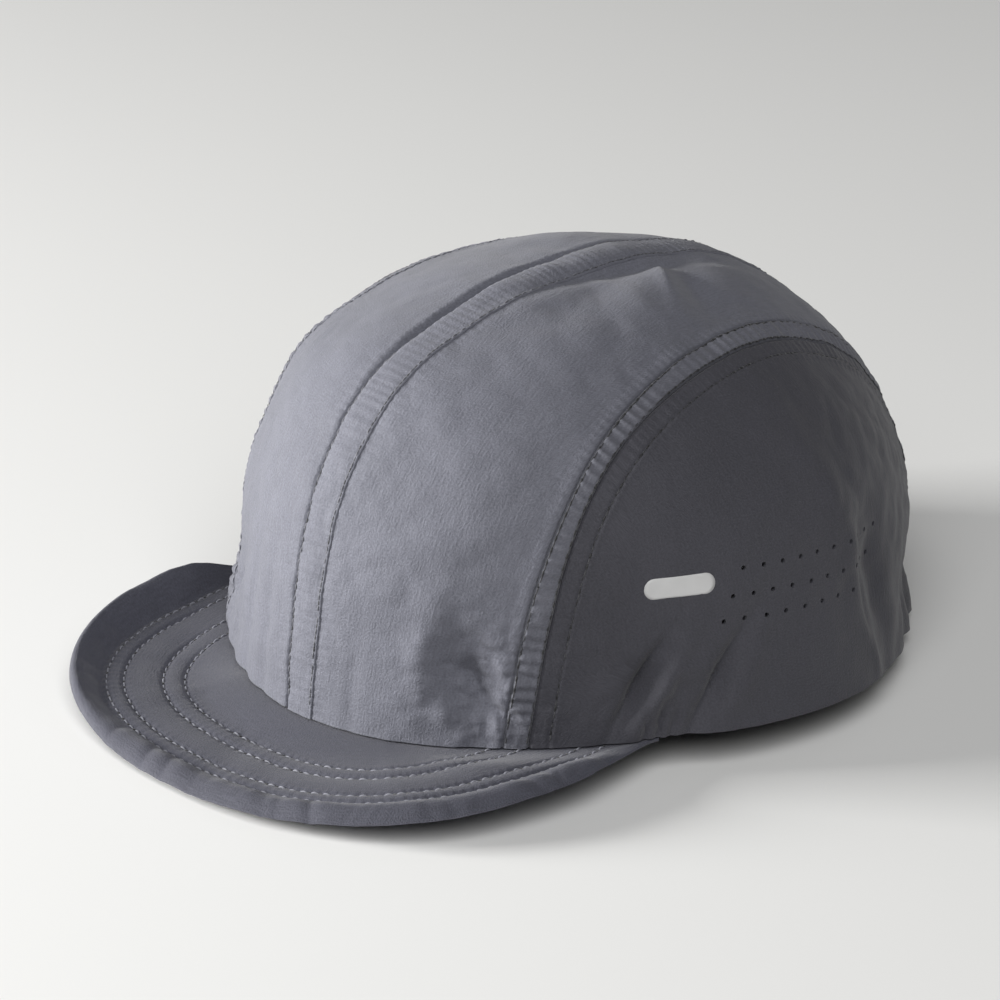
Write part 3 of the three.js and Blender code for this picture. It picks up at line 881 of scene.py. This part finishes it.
def woven(name, colour, weave_pitch, slub=1.0):
    """Matt woven nylon: a fine plain weave, uneven yarns and a soft sheen."""
    shading = Shading(name, {
        "Roughness": 0.72, "Specular IOR Level": 0.3, "Sheen Weight": 0.18,
        "Sheen Roughness": 0.45,
    })
    uv = shading.node("UVMap", {"uv_map": "RealSize"})
    warp, weft = (
        (shading.node("SeparateXYZ", None, {"Vector": uv}, way) * (2 * math.pi / weave_pitch))
        .math("SINE") for way in ("X", "Y")
    )
    tone, height = 0.5, warp * weft * WEAVE_HEIGHT
    for title, yarn in YARNS.items():
        across, along = yarn["size"]
        stretched = shading.node("Mapping", {"vector_type": "POINT"}, {
            "Vector": uv, "Scale": (1 / (across * MM), 1 / (along * MM), 1),
        })
        uneven = shading.node("TexNoise", {"noise_dimensions": "2D"}, {
            "Vector": stretched, "Scale": 1.0, "Detail": yarn["detail"], "Roughness": 0.55,
        })
        share = slub if title == "slubs" else 1.0
        tone = tone + (uneven - 0.5) * (yarn["tone"] * share)
        if yarn["height"]:
            height = height + uneven * (yarn["height"] * share)
    base = shading.mix(tone, tinted(colour, 0.76), tinted(colour, 1.24))
    shading.put(shading.surface["Base Color"], base)
    shading.bump(0.6, 0.0002, height)
    return shading.material


def thread_finish(name, colour):
    shading = Shading(name, {"Roughness": 0.6, "Sheen Weight": 0.2})
    twist = shading.noise(1500.0, 2.0)
    # Painted shade: the stored share darkens the thread, and the needle holes' dots, towards near black
    shade = shading.node("Attribute", {"attribute_name": "shade"}, out="Fac")
    base = shading.mix(twist, tinted(colour, 0.7), tinted(colour, 1.3))
    shading.put(shading.surface["Base Color"], shading.mix(shade, base, tinted(colour, 0.06)))
    shading.bump(0.5, 0.00008, twist)
    return shading.material


def print_finish(name, colour):
    shading = Shading(name, {"Specular IOR Level": 0.5})
    beads, worn = shading.noise(2600.0, 2.0), shading.noise(160.0, 4.0)
    base = shading.mix(worn, tinted(colour, 0.88), tinted(colour, 1.08))
    shading.put(shading.surface["Base Color"], base)
    shading.put(shading.surface["Roughness"], beads * 0.25 + 0.28)
    shading.bump(0.3, 0.00005, beads)
    return shading.material


def floor_finish(name, colour):
    shading = Shading(name, {"Roughness": 0.9, "Specular IOR Level": 0.15})
    base = shading.mix(shading.noise(3.0, 2.0), tinted(colour, 0.985), tinted(colour, 1.015))
    shading.put(shading.surface["Base Color"], base)
    return shading.material


# What a user would change

def length_prop(name, description, default, low=0.0001):
    return bpy.props.FloatProperty(
        name=name, description=description, default=default, min=low, unit="LENGTH", precision=5
    )


def colour_prop(name, description, default):
    return bpy.props.FloatVectorProperty(
        name=name, description=description, default=default, min=0, max=1, size=3, subtype="COLOR"
    )


class CapSizes(bpy.types.PropertyGroup):
    """Sizes of the cap's cloth and sewing"""

    wall: length_prop("Cloth Wall", "Thickness of a sewn cloth panel", 0.0009)
    weave: length_prop("Weave Pitch", "Distance from yarn to yarn", 0.00042)
    pucker_pitch: length_prop("Pucker Pitch", "Distance between ridges along a seam", PUCKER_PITCH * MM)
    pucker_depth: length_prop("Pucker Depth", "Height of the ridges along a seam", PUCKER_DEPTH * MM)
    stitch: length_prop("Stitch Length", "Length of one stitch", 0.0019)
    stitch_gap: length_prop("Stitch Gap", "Gap between two stitches", 0.0011)
    thread: length_prop("Thread Thickness", "Diameter of the sewing thread", 0.00048)
    hole: length_prop("Air Hole", "Diameter of an air hole", 0.0013)
    mark_length: length_prop("Mark Length", "Length of the plain reflective bar", 0.018)
    mark_width: length_prop("Mark Width", "Width of the plain reflective bar", 0.0052)


class CapColours(bpy.types.PropertyGroup):
    """Colours of the cap's cloth, thread and print"""

    crown: colour_prop("Crown", "Colour of the crown panels", (0.136, 0.139, 0.167))
    side: colour_prop("Sides", "Colour of the side panels", (0.055, 0.0545, 0.066))
    strip: colour_prop("Strip", "Colour of the centre strip", (0.136, 0.139, 0.167))
    binding: colour_prop("Bindings", "Colour of the arched bindings", (0.115, 0.117, 0.14))
    brim: colour_prop("Brim", "Colour of the brim", (0.064, 0.065, 0.084))
    thread: colour_prop("Thread", "Colour of the sewing thread", (0.19, 0.193, 0.225))
    mark: colour_prop("Mark", "Colour of the reflective bar", (0.6, 0.6, 0.6))
    floor: colour_prop("Floor", "Colour of the floor", (0.78, 0.78, 0.77))


class CapLights(bpy.types.PropertyGroup):
    """Strength of the studio light"""

    key: bpy.props.FloatProperty(
        name="Key Light", description="Power of the soft light from the side", default=35, min=0, unit="POWER"
    )
    fill: bpy.props.FloatProperty(
        name="Fill Light", description="Power of the large light above", default=71, min=0, unit="POWER"
    )
    room: bpy.props.FloatProperty(
        name="Room Light", description="Strength of the light from all round", default=0.05, min=0
    )


def sizes():
    return bpy.context.scene.cap_sizes


def colours():
    return bpy.context.scene.cap_colours


def finish(slot):
    """The material of a slot of the record, made the first time that it is asked for."""
    name = "cap_" + slot
    if name in bpy.data.materials:
        return bpy.data.materials[name]
    paint, weave = colours(), sizes().weave
    makers = {
        "crown_cloth": lambda: woven(name, paint.crown, weave),
        "side_cloth": lambda: woven(name, paint.side, weave, 0.7),
        "strip_cloth": lambda: woven(name, paint.strip, weave),
        "binding_cloth": lambda: woven(name, paint.binding, weave, 0.6),
        "brim_cloth": lambda: woven(name, paint.brim, weave),
        "thread": lambda: thread_finish(name, paint.thread),
        "reflective_print": lambda: print_finish(name, paint.mark),
    }
    return makers[slot]()


def link(name, data):
    obj = bpy.data.objects.new(name, data)
    bpy.context.scene.collection.objects.link(obj)
    return obj


def keep(obj, slot, *nodes):
    """Hands a finished piece to the frame: it rides on the cap and stands for its CAD nodes."""
    if not obj.data.materials:
        obj.data.materials.append(finish(slot))
    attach(obj, "root")
    if nodes:
        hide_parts(*nodes)


def sewn_piece(name, cloth, slot):
    """A cloth piece with its seam puckers."""
    obj = link(name, cloth_mesh(name, cloth))
    pucker_tree().run(obj, {
        "Pitch": sizes().pucker_pitch, "Depth": sizes().pucker_depth, "Material": finish(slot),
    })
    return obj


def wall_mm():
    return round(sizes().wall / MM, 3)


SIDES = (("left", 1), ("right", -1))


class CAP_OT_crown_panels(bpy.types.Operator):
    """Make the two long crown panels"""

    bl_idname = "cap.crown_panels"
    bl_label = "Crown Panels"

    def execute(self, context):
        for name, side in SIDES:
            obj = sewn_piece(f"crown_{name}", crown_panel_cloth(side, wall_mm()), "crown_cloth")
            keep(obj, "crown_cloth", f"crown_panel_{name}")
        return {"FINISHED"}


class CAP_OT_center_strip(bpy.types.Operator):
    """Make the raised strip along the middle"""

    bl_idname = "cap.center_strip"
    bl_label = "Centre Strip"

    def execute(self, context):
        obj = sewn_piece("strip", strip_cloth(wall_mm()), "strip_cloth")
        keep(obj, "strip_cloth", "center_seam_strip")
        return {"FINISHED"}


class CAP_OT_arch_bindings(bpy.types.Operator):
    """Make the two puckered bindings that follow the arches"""

    bl_idname = "cap.arch_bindings"
    bl_label = "Arch Bindings"

    def execute(self, context):
        for name, side in SIDES:
            obj = sewn_piece(f"binding_{name}", binding_cloth(side, wall_mm()), "binding_cloth")
            keep(obj, "binding_cloth", f"arch_binding_{name}")
        return {"FINISHED"}


def hole_places(side):
    rows = []
    for turn, lift, lift_per_hole, count in HOLE_ROWS:
        number = np.arange(count)
        rows.append(map_place(turn + number * HOLE_STEP, lift + number * lift_per_hole))
    return np.concatenate(rows) * (side, 1)


class CAP_OT_side_panels(bpy.types.Operator):
    """Make the two side panels and punch their air holes"""

    bl_idname = "cap.side_panels"
    bl_label = "Side Panels"

    def execute(self, context):
        for name, side in SIDES:
            obj = sewn_piece(f"side_{name}", side_panel_cloth(side, wall_mm()), "side_cloth")
            places = hole_places(side)
            normals, points = crown_normal(places), smooth_crown(places)
            points = points + normals * common_rise(points, turn_and_lift(places)[0])[:, None]
            marks = link("hole_places", mesh_from("hole_places", points, [], None, {"outwards": normals}))
            punch_tree().run(obj, {
                "Places": marks, "Diameter": sizes().hole, "Length": HOLE_ROD,
                "Material": finish("side_cloth"),
            })
            bpy.data.objects.remove(marks)
            obj.data.set_sharp_from_angle(angle=math.radians(HOLE_EDGE_ANGLE))
            keep(obj, "side_cloth", f"side_panel_{name}")
        return {"FINISHED"}


# Brim

def brim_outline(turn):
    angle = np.radians(turn)
    ahead, aside = np.cos(angle), np.sin(angle)
    reach = np.where(ahead > 0, BRIM["reach"], BRIM["heel"])
    power = BRIM["roundness"]
    total = np.abs(ahead / reach) ** power + np.abs(aside / BRIM["half_width"]) ** power
    radius = total ** (-1 / power)
    return np.stack([radius * aside, BRIM["centre"] - radius * ahead], -1)


# The rim's section: how far it rounds and tucks under, and a groove for the seam along its edge,
# by the swing round the rim (radians, 0 is level)
RIM = {"round": 2.3, "tuck": 2.8, "full_width": 14}
EDGE_SEAM = {"swing": -0.3, "width": 0.14, "depth": 0.6}
BRIM_STEPS = {"field": 84, "rim": 34, "under": 40}
BRIM_STATIONS = 480

# Relief of the brim in mm: the padded rim, the pads between the stitch lines, the groove and
# tucks of each line, and wrinkles across the rim (height, pitch, seed)
RIM_PUFF = 1.3
PAD_HEIGHTS = (0.26, 0.4, 0.32)
LINE_GROOVE = {"depth": 0.4, "width": 0.55, "tucks": 0.1, "spread": 1.5, "pitch": 3.0}
WRINKLES = {"broad": (0.6, 7.5, 21), "fine": (0.16, 3.6, 22), "soft": (0.12, 9, 23)}
WRINKLE_SETTLE = 0.3
UPTURNED_TURNS = (12, 42)


class Brim:
    """The brim as rings round its section: root to rim above, round the rim, and back below."""

    def __init__(self):
        share = np.linspace(-1, 1, BRIM_STATIONS)[:, None]
        turn = share * BRIM_TURN
        hem = crown_point(share[:, 0] * BRIM_ROOT_TURN, np.zeros(len(share)))
        root = hem[:, :2] * (1 - BRIM_ROOT_INSET / size_of(hem[:, :2]))[:, None]
        edge = brim_outline(turn[:, 0])
        width = size_of(edge - root)[:, None]
        left_over = np.clip((BRIM_TURN - np.abs(turn)) / BRIM_END["length"], 0, 1) ** 0.6
        kept = (1 - BRIM_AT["draw"](turn) / width) * lerp(BRIM_END["share"], 1, left_over)
        edge, width = lerp(root, edge, kept), width * kept
        rim_size = np.minimum(1, width / RIM["full_width"])
        field, under = (np.linspace(0, 1, BRIM_STEPS[part]) for part in ("field", "under"))
        swing = np.linspace(np.pi / 2, -np.pi / 2, BRIM_STEPS["rim"] + 2)[1:-1]
        rolled = RIM["round"] * (1 - np.cos(swing))
        rolled += EDGE_SEAM["depth"] * bell(swing - EDGE_SEAM["swing"], EDGE_SEAM["width"])
        rolled += RIM["tuck"] * smoothstep(-swing, 0.1, np.pi / 2)
        from_edge = np.concatenate([
            lerp(RIM["round"] * rim_size, width, 1 - field**0.9), rolled * rim_size,
            lerp((RIM["round"] + RIM["tuck"]) * rim_size, width, under),
        ], axis=1)
        above = np.concatenate([np.ones(len(field)), np.sin(swing), -np.ones(len(under))])
        spread = 1 - from_edge / width
        plan = lerp(root[:, None], edge[:, None], spread[..., None])
        outline = NearestLine(
            brim_outline(np.linspace(-BRIM_TURN - 20, BRIM_TURN + 20, 900)),
            lambda tangents: tangents[:, ::-1] * (1, -1),
        )
        self.round, beyond = outline.measure(plan)
        inside = np.abs(beyond)
        drawn = inside.min(axis=1, keepdims=True)
        band = np.maximum(BRIM_STITCH_LINES[0], drawn + 4)
        self.inside = np.where(inside < band, (inside - drawn) * band / (band - drawn), inside)
        near_rim = 1 - smoothstep(self.inside, 0, RIM_BAND)
        near_root = 1 - smoothstep(spread * width - BRIM_ROOT_INSET, 0, ROOT_BAND)
        level = lerp(BRIM_AT["field"](turn), BRIM_AT["rim"](turn), near_rim)
        level = lerp(level, hem[:, 2:] - 0.3, near_root)
        top = level + self.relief(self.round, self.inside, turn) * (1 - near_root)
        thickness = lerp(BRIM_THICKNESS, BRIM_AT["thickness"](turn), near_rim)
        bottom = np.maximum(0.15, level - thickness)
        height = (top + bottom) / 2 + (top - bottom) / 2 * above
        self.points = np.concatenate([plan, height[..., None]], -1)

    def relief(self, s, d, turn):
        """Pads between the stitch lines, and the outer band, turned up on the wearer's right."""
        upturned = smoothstep(-turn, *UPTURNED_TURNS)
        first = BRIM_STITCH_LINES[0]
        puff = RIM_PUFF * np.sin(np.pi * np.clip(d / first, 0, 1)) + profile("rim turned down", d)
        rise = lerp(puff, profile("rim turned up", d) * (1 - smoothstep(d, 8.6, 10.6)), upturned)
        for start, end, height in zip(BRIM_STITCH_LINES, BRIM_STITCH_LINES[1:], PAD_HEIGHTS):
            rise = rise + height * np.sin(np.pi * np.clip((d - start) / (end - start), 0, 1))
        tucks = np.sin(2 * np.pi * (s + 0.8 * ripple(s, 7, 20)) / LINE_GROOVE["pitch"])
        for line in BRIM_STITCH_LINES:
            rise = rise - LINE_GROOVE["depth"] * bell(d - line, LINE_GROOVE["width"])
            rise = rise + LINE_GROOVE["tucks"] * tucks * bell(d - line, LINE_GROOVE["spread"])

        def wrinkle(kind, slant):
            height, pitch, seed = WRINKLES[kind]
            return height * ripple(s + slant * d, pitch, seed)

        creases = np.abs(wrinkle("broad", 0.3)) + np.abs(wrinkle("fine", -0.5)) - WRINKLE_SETTLE
        band = (1 - smoothstep(d, 7.5, first)) * (1 - 0.5 * upturned)
        return rise + band * creases + wrinkle("soft", 0.3)


def ring_faces(stations, ring):
    """Faces of a closed body made of rings, with an end wall at its first and last ring."""
    index = np.arange(stations * ring).reshape(stations, ring)
    after = np.roll(index, -1, axis=1)
    j = np.arange(ring // 2 - 1)
    first, last = (
        quads(row[j], row[j + 1], row[ring - 2 - j], row[ring - 1 - j]) for row in index[[0, -1]]
    )
    tube = quads(index[:-1], after[:-1], after[1:], index[1:])
    return np.concatenate([tube, first[:, ::-1], last])


# The coarse copy of the brim that is simulated: its steps and frames, the pressure in it, how near
# a stitch line it is held, and how far it may swell, both in mm
PAD = {
    "rows": 121, "field": 30, "rim": 8, "under": 12, "frames": 20, "pressure": 4.0,
    "held": 0.9, "most": 0.8,
}


def pad_swell(shape):
    """How far the padded brim swells between its stitch lines, simulated on a coarse copy, in mm."""
    stations, ring = shape.points.shape[:2]
    rows = np.linspace(0, stations - 1, PAD["rows"]).round().astype(int)
    columns, start = [], 0
    for part, steps in BRIM_STEPS.items():
        columns.append(np.linspace(start, start + steps - 1, PAD[part]).round().astype(int))
        start += steps
    held_below, columns = columns[2][0] - 2, np.concatenate(columns)
    coarse, inside = (grid[np.ix_(rows, columns)] for grid in (shape.points, shape.inside))
    faces = outward(coarse, ring_faces(*coarse.shape[:2]))
    pad = link("pad", mesh_from("pad", coarse, faces))
    stitched = np.min([np.abs(inside - line) for line in BRIM_STITCH_LINES], axis=0) < PAD["held"]
    held = stitched | (columns >= held_below) | (columns < 3)
    held[[0, -1]] = True
    pins = pad.vertex_groups.new(name="held")
    pins.add(np.flatnonzero(held).tolist(), 1.0, "REPLACE")
    cloth = pad.modifiers.new("Pad", "CLOTH")
    cloth.settings.quality = 6
    cloth.settings.use_pressure = True
    cloth.settings.uniform_pressure_force = PAD["pressure"]
    cloth.settings.effector_weights.gravity = 0
    cloth.settings.vertex_group_mass = pins.name
    cloth.collision_settings.use_collision = False
    cloth.point_cache.frame_start, cloth.point_cache.frame_end = 1, PAD["frames"]
    scene = bpy.context.scene
    for number in range(1, PAD["frames"] + 1):
        scene.frame_set(number)
    swollen = pad.evaluated_get(bpy.context.evaluated_depsgraph_get()).data
    moved = np.zeros(coarse.size, np.float32)
    swollen.vertices.foreach_get("co", moved)
    scene.frame_set(1)
    bpy.data.objects.remove(pad)
    swell = moved.reshape(coarse.shape) / MM - SHIFT - coarse
    swell *= np.minimum(1, PAD["most"] / np.maximum(size_of(swell), 1e-6))[..., None]
    wide = np.array([
        [np.interp(np.arange(ring), columns, row[:, i]) for i in range(3)] for row in swell
    ])
    return np.stack([
        [np.interp(np.arange(stations), rows, wide[:, i, j]) for j in range(ring)] for i in range(3)
    ], -1).transpose(1, 0, 2)


@lru_cache(maxsize=None)
def brim_shape():
    shape = Brim()
    shape.points = shape.points + pad_swell(shape)
    shape.points[..., 2] = np.maximum(shape.points[..., 2], 0.1)
    return shape


class CAP_OT_brim(bpy.types.Operator):
    """Make the padded brim"""

    bl_idname = "cap.brim"
    bl_label = "Brim"

    def execute(self, context):
        shape = brim_shape()
        faces = outward(shape.points, ring_faces(*shape.points.shape[:2]))
        uv = np.stack([shape.inside, shape.round], -1)
        obj = link("brim_padded", mesh_from("brim_padded", shape.points, faces, uv))
        keep(obj, "brim_cloth", "brim")
        return {"FINISHED"}


# Stitches

LINE_TRIM = {"rows": 12, "steps": 13}


def line_at(inset, distances, surface, normals):
    """The line over a grid at that distance across its rows, and the way out of the cloth."""
    found = []
    for far, *rows in zip(distances, surface, normals):
        order = np.argsort(far)
        found.append([
            [np.interp(inset, far[order], row[order, i]) for i in range(3)] for row in rows
        ])
    points, ways = np.moveaxis(np.array(found), 1, 0)
    return points, unit(ways)


def line_on(cloth, near, inset):
    """The line on a cloth that keeps a distance from a seam, short of the hems."""
    kept = slice(LINE_TRIM["rows"], -LINE_TRIM["rows"])
    _, beyond = near.measure(smooth_crown(cloth.places[kept]))
    return line_at(inset, beyond, cloth.puckered()[kept], cloth.outwards[kept])


def line_beside(near, side, inset, rise_of):
    """The same for a piece whose grid doesn't run along its seam."""
    places = place_at(SEAM_ALONG, (near.points + near.beyond * inset)[:, 0])
    smooth, normals = smooth_crown(places), crown_normal(places)
    rise, puckers = rise_of(smooth, side)
    rise = (rise + common_rise(smooth, turn_and_lift(places)[0]))[:, None] + pucker_wave(puckers)
    kept = slice(LINE_TRIM["steps"], -LINE_TRIM["steps"])
    return (smooth + normals * rise)[kept], normals[kept]


def brim_line(inset):
    """A stitch line on the brim, where the brim is wide enough for it."""
    shape, top = brim_shape(), slice(0, BRIM_STEPS["field"])
    grid, inside = shape.points[:, top], shape.inside[:, top]
    facing = unit(np.cross(np.gradient(grid, axis=0), np.gradient(grid, axis=1)))
    facing *= np.sign(facing[..., 2:])
    wide = inside.max(axis=1) >= inset + 1
    return line_at(inset, inside[wide], grid[wide], facing[wide])


# How far in from its seam a line of stitches runs, in mm
LINE_INSETS = {"strip": 0.7, "binding": 0.5, "side panel": 4.7}

# Each thread's dark dot of painted shade in the needle hole (length and width in mm), the painted shade
# on the thread itself (0 none, 1 black), darkest on the left arch, which lies in shade, and none on
# the lit right arch and on the brim, and its thickness as a share of the full one
THREADS = {
    "strip": ((1.5, 0.46), 0.5, 0.8), "arch_left": ((2.0, 0.66), 0.9, 0.75),
    "arch_right": ((0.6, 0.2), 0.0, 0.55), "brim": ((1.2, 0.72), 0.0, 1.0),
}


def stitches(name, lines):
    """Sews the lines with the thread of that name."""
    # The needle hole's dot and the darkening of the thread are painted shade
    hole, shade, thicker = THREADS[name]
    points, normals = (np.concatenate(rows) for rows in zip(*lines))
    starts = np.cumsum([0] + [len(line) for line, _ in lines])
    edges = [(i, i + 1) for i in range(len(points) - 1) if i + 1 not in starts]
    name = "stitches_" + name
    obj = link(name, mesh_from(name, points, [], None, {"outwards": normals}, edges))
    stitch_tree().run(obj, {
        "Length": sizes().stitch, "Gap": sizes().stitch_gap, "Thread": sizes().thread * thicker,
        "Hole Length": hole[0] * MM, "Hole Width": hole[1] * MM, "Shade": shade,
        "Seed": SEED, "Material": finish("thread"),
    })
    obj.data.shade_smooth()
    keep(obj, "thread")


class CAP_OT_stitches(bpy.types.Operator):
    """Sew the topstitching of the strip, the arches and the brim"""

    bl_idname = "cap.stitches"
    bl_label = "Stitches"

    def execute(self, context):
        wall, inset = wall_mm(), LINE_INSETS
        strip = strip_cloth(wall)
        stitches("strip", [line_on(strip, seam("strip", side), -inset["strip"]) for _, side in SIDES])
        for name, side in SIDES:
            binding, outside, inside = binding_cloth(side, wall), seam("seam", side), seam("panel", side)
            stitches("arch_" + name, [
                line_on(binding, outside, inset["binding"]),
                line_on(binding, inside, -inset["binding"]),
                line_beside(inside, side, inset["side panel"], side_panel_rise),
            ])
        stitches("brim", [brim_line(inset) for inset in BRIM_STITCH_LINES])
        return {"FINISHED"}


# The bar: its turn and lift, and the steps from its outline to its middle and along each side
MARK_PLACE = (60.5, 23.9)
MARK_STEPS = {"inwards": 8, "side": 17}
MARK_CENTRE = 0.02
MARK_HEIGHT = {"edge": 0.02, "middle": 0.1, "below": -0.1}


class CAP_OT_side_mark(bpy.types.Operator):
    """Print a small plain reflective bar on the left side panel"""

    bl_idname = "cap.side_mark"
    bl_label = "Side Mark"

    def execute(self, context):
        half_width = sizes().mark_width / MM / 2
        straight = sizes().mark_length / MM / 2 - half_width
        angle = np.linspace(-np.pi / 2, np.pi / 2, MARK_STEPS["side"])
        run = np.linspace(straight, -straight, MARK_STEPS["side"])[1:-1]
        half_outline = np.concatenate([
            np.stack([straight + half_width * np.cos(angle), half_width * np.sin(angle)], -1),
            np.stack([run, np.full(len(run), half_width)], -1),
        ])
        outline = np.concatenate([half_outline, -half_outline])
        shares = np.linspace(MARK_CENTRE, 1, MARK_STEPS["inwards"])[:, None, None]
        turn, lift = MARK_PLACE
        middle = crown_point(turn, lift)
        one_turn, one_lift = crown_point(turn + 1, lift), crown_point(turn, lift + 1)
        flat = outline * shares / [size_of(one_turn - middle), size_of(one_lift - middle)]
        places = map_place(turn + flat[..., 0], lift + flat[..., 1])
        smooth, normals = smooth_crown(places), crown_normal(places)
        rise = side_panel_rise(smooth, 1)[0] + common_rise(smooth, turn_and_lift(places)[0])
        raised = np.where(shares[..., 0] == 1, MARK_HEIGHT["edge"], MARK_HEIGHT["middle"])
        outer = smooth + normals * (rise + raised)[..., None]
        inner = smooth + normals * (rise + MARK_HEIGHT["below"])[..., None]
        points = np.concatenate([outer, inner[::-1]])
        ring = np.arange(points.size // 3).reshape(points.shape[:2])
        after = np.roll(ring, -1, axis=1)
        faces = quads(ring[1:], after[1:], after[:-1], ring[:-1]).tolist()
        faces += [ring[0].tolist(), ring[-1][::-1].tolist()]
        keep(link("side_mark", mesh_from("side_mark", points, faces)), "reflective_print")
        return {"FINISHED"}


# Stage

CAMERA = {
    "place": (0.73848037, -0.7949655, 0.5042047),
    "right": (0.7177522, 0.69529089, 0.03744803),
    "up": (-0.29780282, 0.25791968, 0.91912509),
    "back": (0.62940071, -0.67085619, 0.392182),
    "lens": 171.485, "sensor": 36, "far": 20,
}

# The lights: where each stands, its size and colour, in metres
KEY = {"place": (-0.86805, -0.9774, 0.3375), "size": 0.5, "colour": (1, 0.995, 0.98)}
FILL = {"place": (1.302, -1.397, 2.35), "size": 2.5, "colour": (1, 1, 1)}
LIT_PLACE = Vector((0, 0, 0.04))
FLOOR_REACH = 6.0


def area_light(name, light, power):
    data = bpy.data.lights.new(name, "AREA")
    data.shape = "RECTANGLE"
    data.size = data.size_y = light["size"]
    data.energy, data.color = power, light["colour"]
    way = (LIT_PLACE - Vector(light["place"])).to_track_quat("-Z", "Y")
    link(name, data).matrix_world = Matrix.Translation(light["place"]) @ way.to_matrix().to_4x4()


class CAP_OT_stage(bpy.types.Operator):
    """Set the pale floor, the soft light and the camera"""

    bl_idname = "cap.stage"
    bl_label = "Stage"

    def execute(self, context):
        scene, lights, reach = context.scene, context.scene.cap_lights, FLOOR_REACH
        mesh = bpy.data.meshes.new("floor")
        corners = [(-reach, -reach, 0), (reach, -reach, 0), (reach, reach, 0), (-reach, reach, 0)]
        mesh.from_pydata(corners, [], [(0, 1, 2, 3)])
        mesh.materials.append(floor_finish("floor", colours().floor))
        link("floor", mesh)
        area_light("key_light", KEY, lights.key)
        area_light("fill_light", FILL, lights.fill)
        world = scene.world = bpy.data.worlds.new("room")
        world.use_nodes = True
        background = world.node_tree.nodes["Background"].inputs
        background["Color"].default_value = (1, 1, 1, 1)
        background["Strength"].default_value = lights.room
        scene.view_settings.view_transform = "Standard"
        data = bpy.data.cameras.new("camera")
        data.lens, data.sensor_width, data.clip_end = CAMERA["lens"], CAMERA["sensor"], CAMERA["far"]
        scene.camera = link("camera", data)
        turned = Matrix([CAMERA[way] for way in ("right", "up", "back")]).transposed().to_4x4()
        scene.camera.matrix_world = Matrix.Translation(CAMERA["place"]) @ turned
        return {"FINISHED"}


class CAP_PT_build(bpy.types.Panel):
    """The cap's pieces, sizes and colours"""

    bl_label = "Running Cap"
    bl_idname = "CAP_PT_build"
    bl_space_type = "VIEW_3D"
    bl_region_type = "UI"
    bl_category = "Running Cap"

    def draw(self, context):
        for operator in OPERATORS:
            self.layout.operator(operator.bl_idname)
        for group in (context.scene.cap_sizes, context.scene.cap_colours, context.scene.cap_lights):
            box = self.layout.box()
            for name in group.__annotations__:
                box.prop(group, name)


OPERATORS = (
    CAP_OT_crown_panels, CAP_OT_center_strip, CAP_OT_arch_bindings, CAP_OT_side_panels,
    CAP_OT_brim, CAP_OT_stitches, CAP_OT_side_mark, CAP_OT_stage,
)
GROUPS = {"cap_sizes": CapSizes, "cap_colours": CapColours, "cap_lights": CapLights}


def register():
    for cls in (*GROUPS.values(), *OPERATORS, CAP_PT_build):
        bpy.utils.register_class(cls)
    for name, group in GROUPS.items():
        setattr(bpy.types.Scene, name, bpy.props.PointerProperty(type=group))


def unregister():
    for name in GROUPS:
        delattr(bpy.types.Scene, name)
    for cls in (CAP_PT_build, *reversed(OPERATORS), *reversed(GROUPS.values())):
        bpy.utils.unregister_class(cls)


def main():
    register()
    bpy.ops.cap.crown_panels()
    bpy.ops.cap.center_strip()
    bpy.ops.cap.arch_bindings()
    bpy.ops.cap.side_panels()
    bpy.ops.cap.brim()
    bpy.ops.cap.stitches()
    bpy.ops.cap.side_mark()
    bpy.ops.cap.stage()


if __name__ == "__main__":
    main()
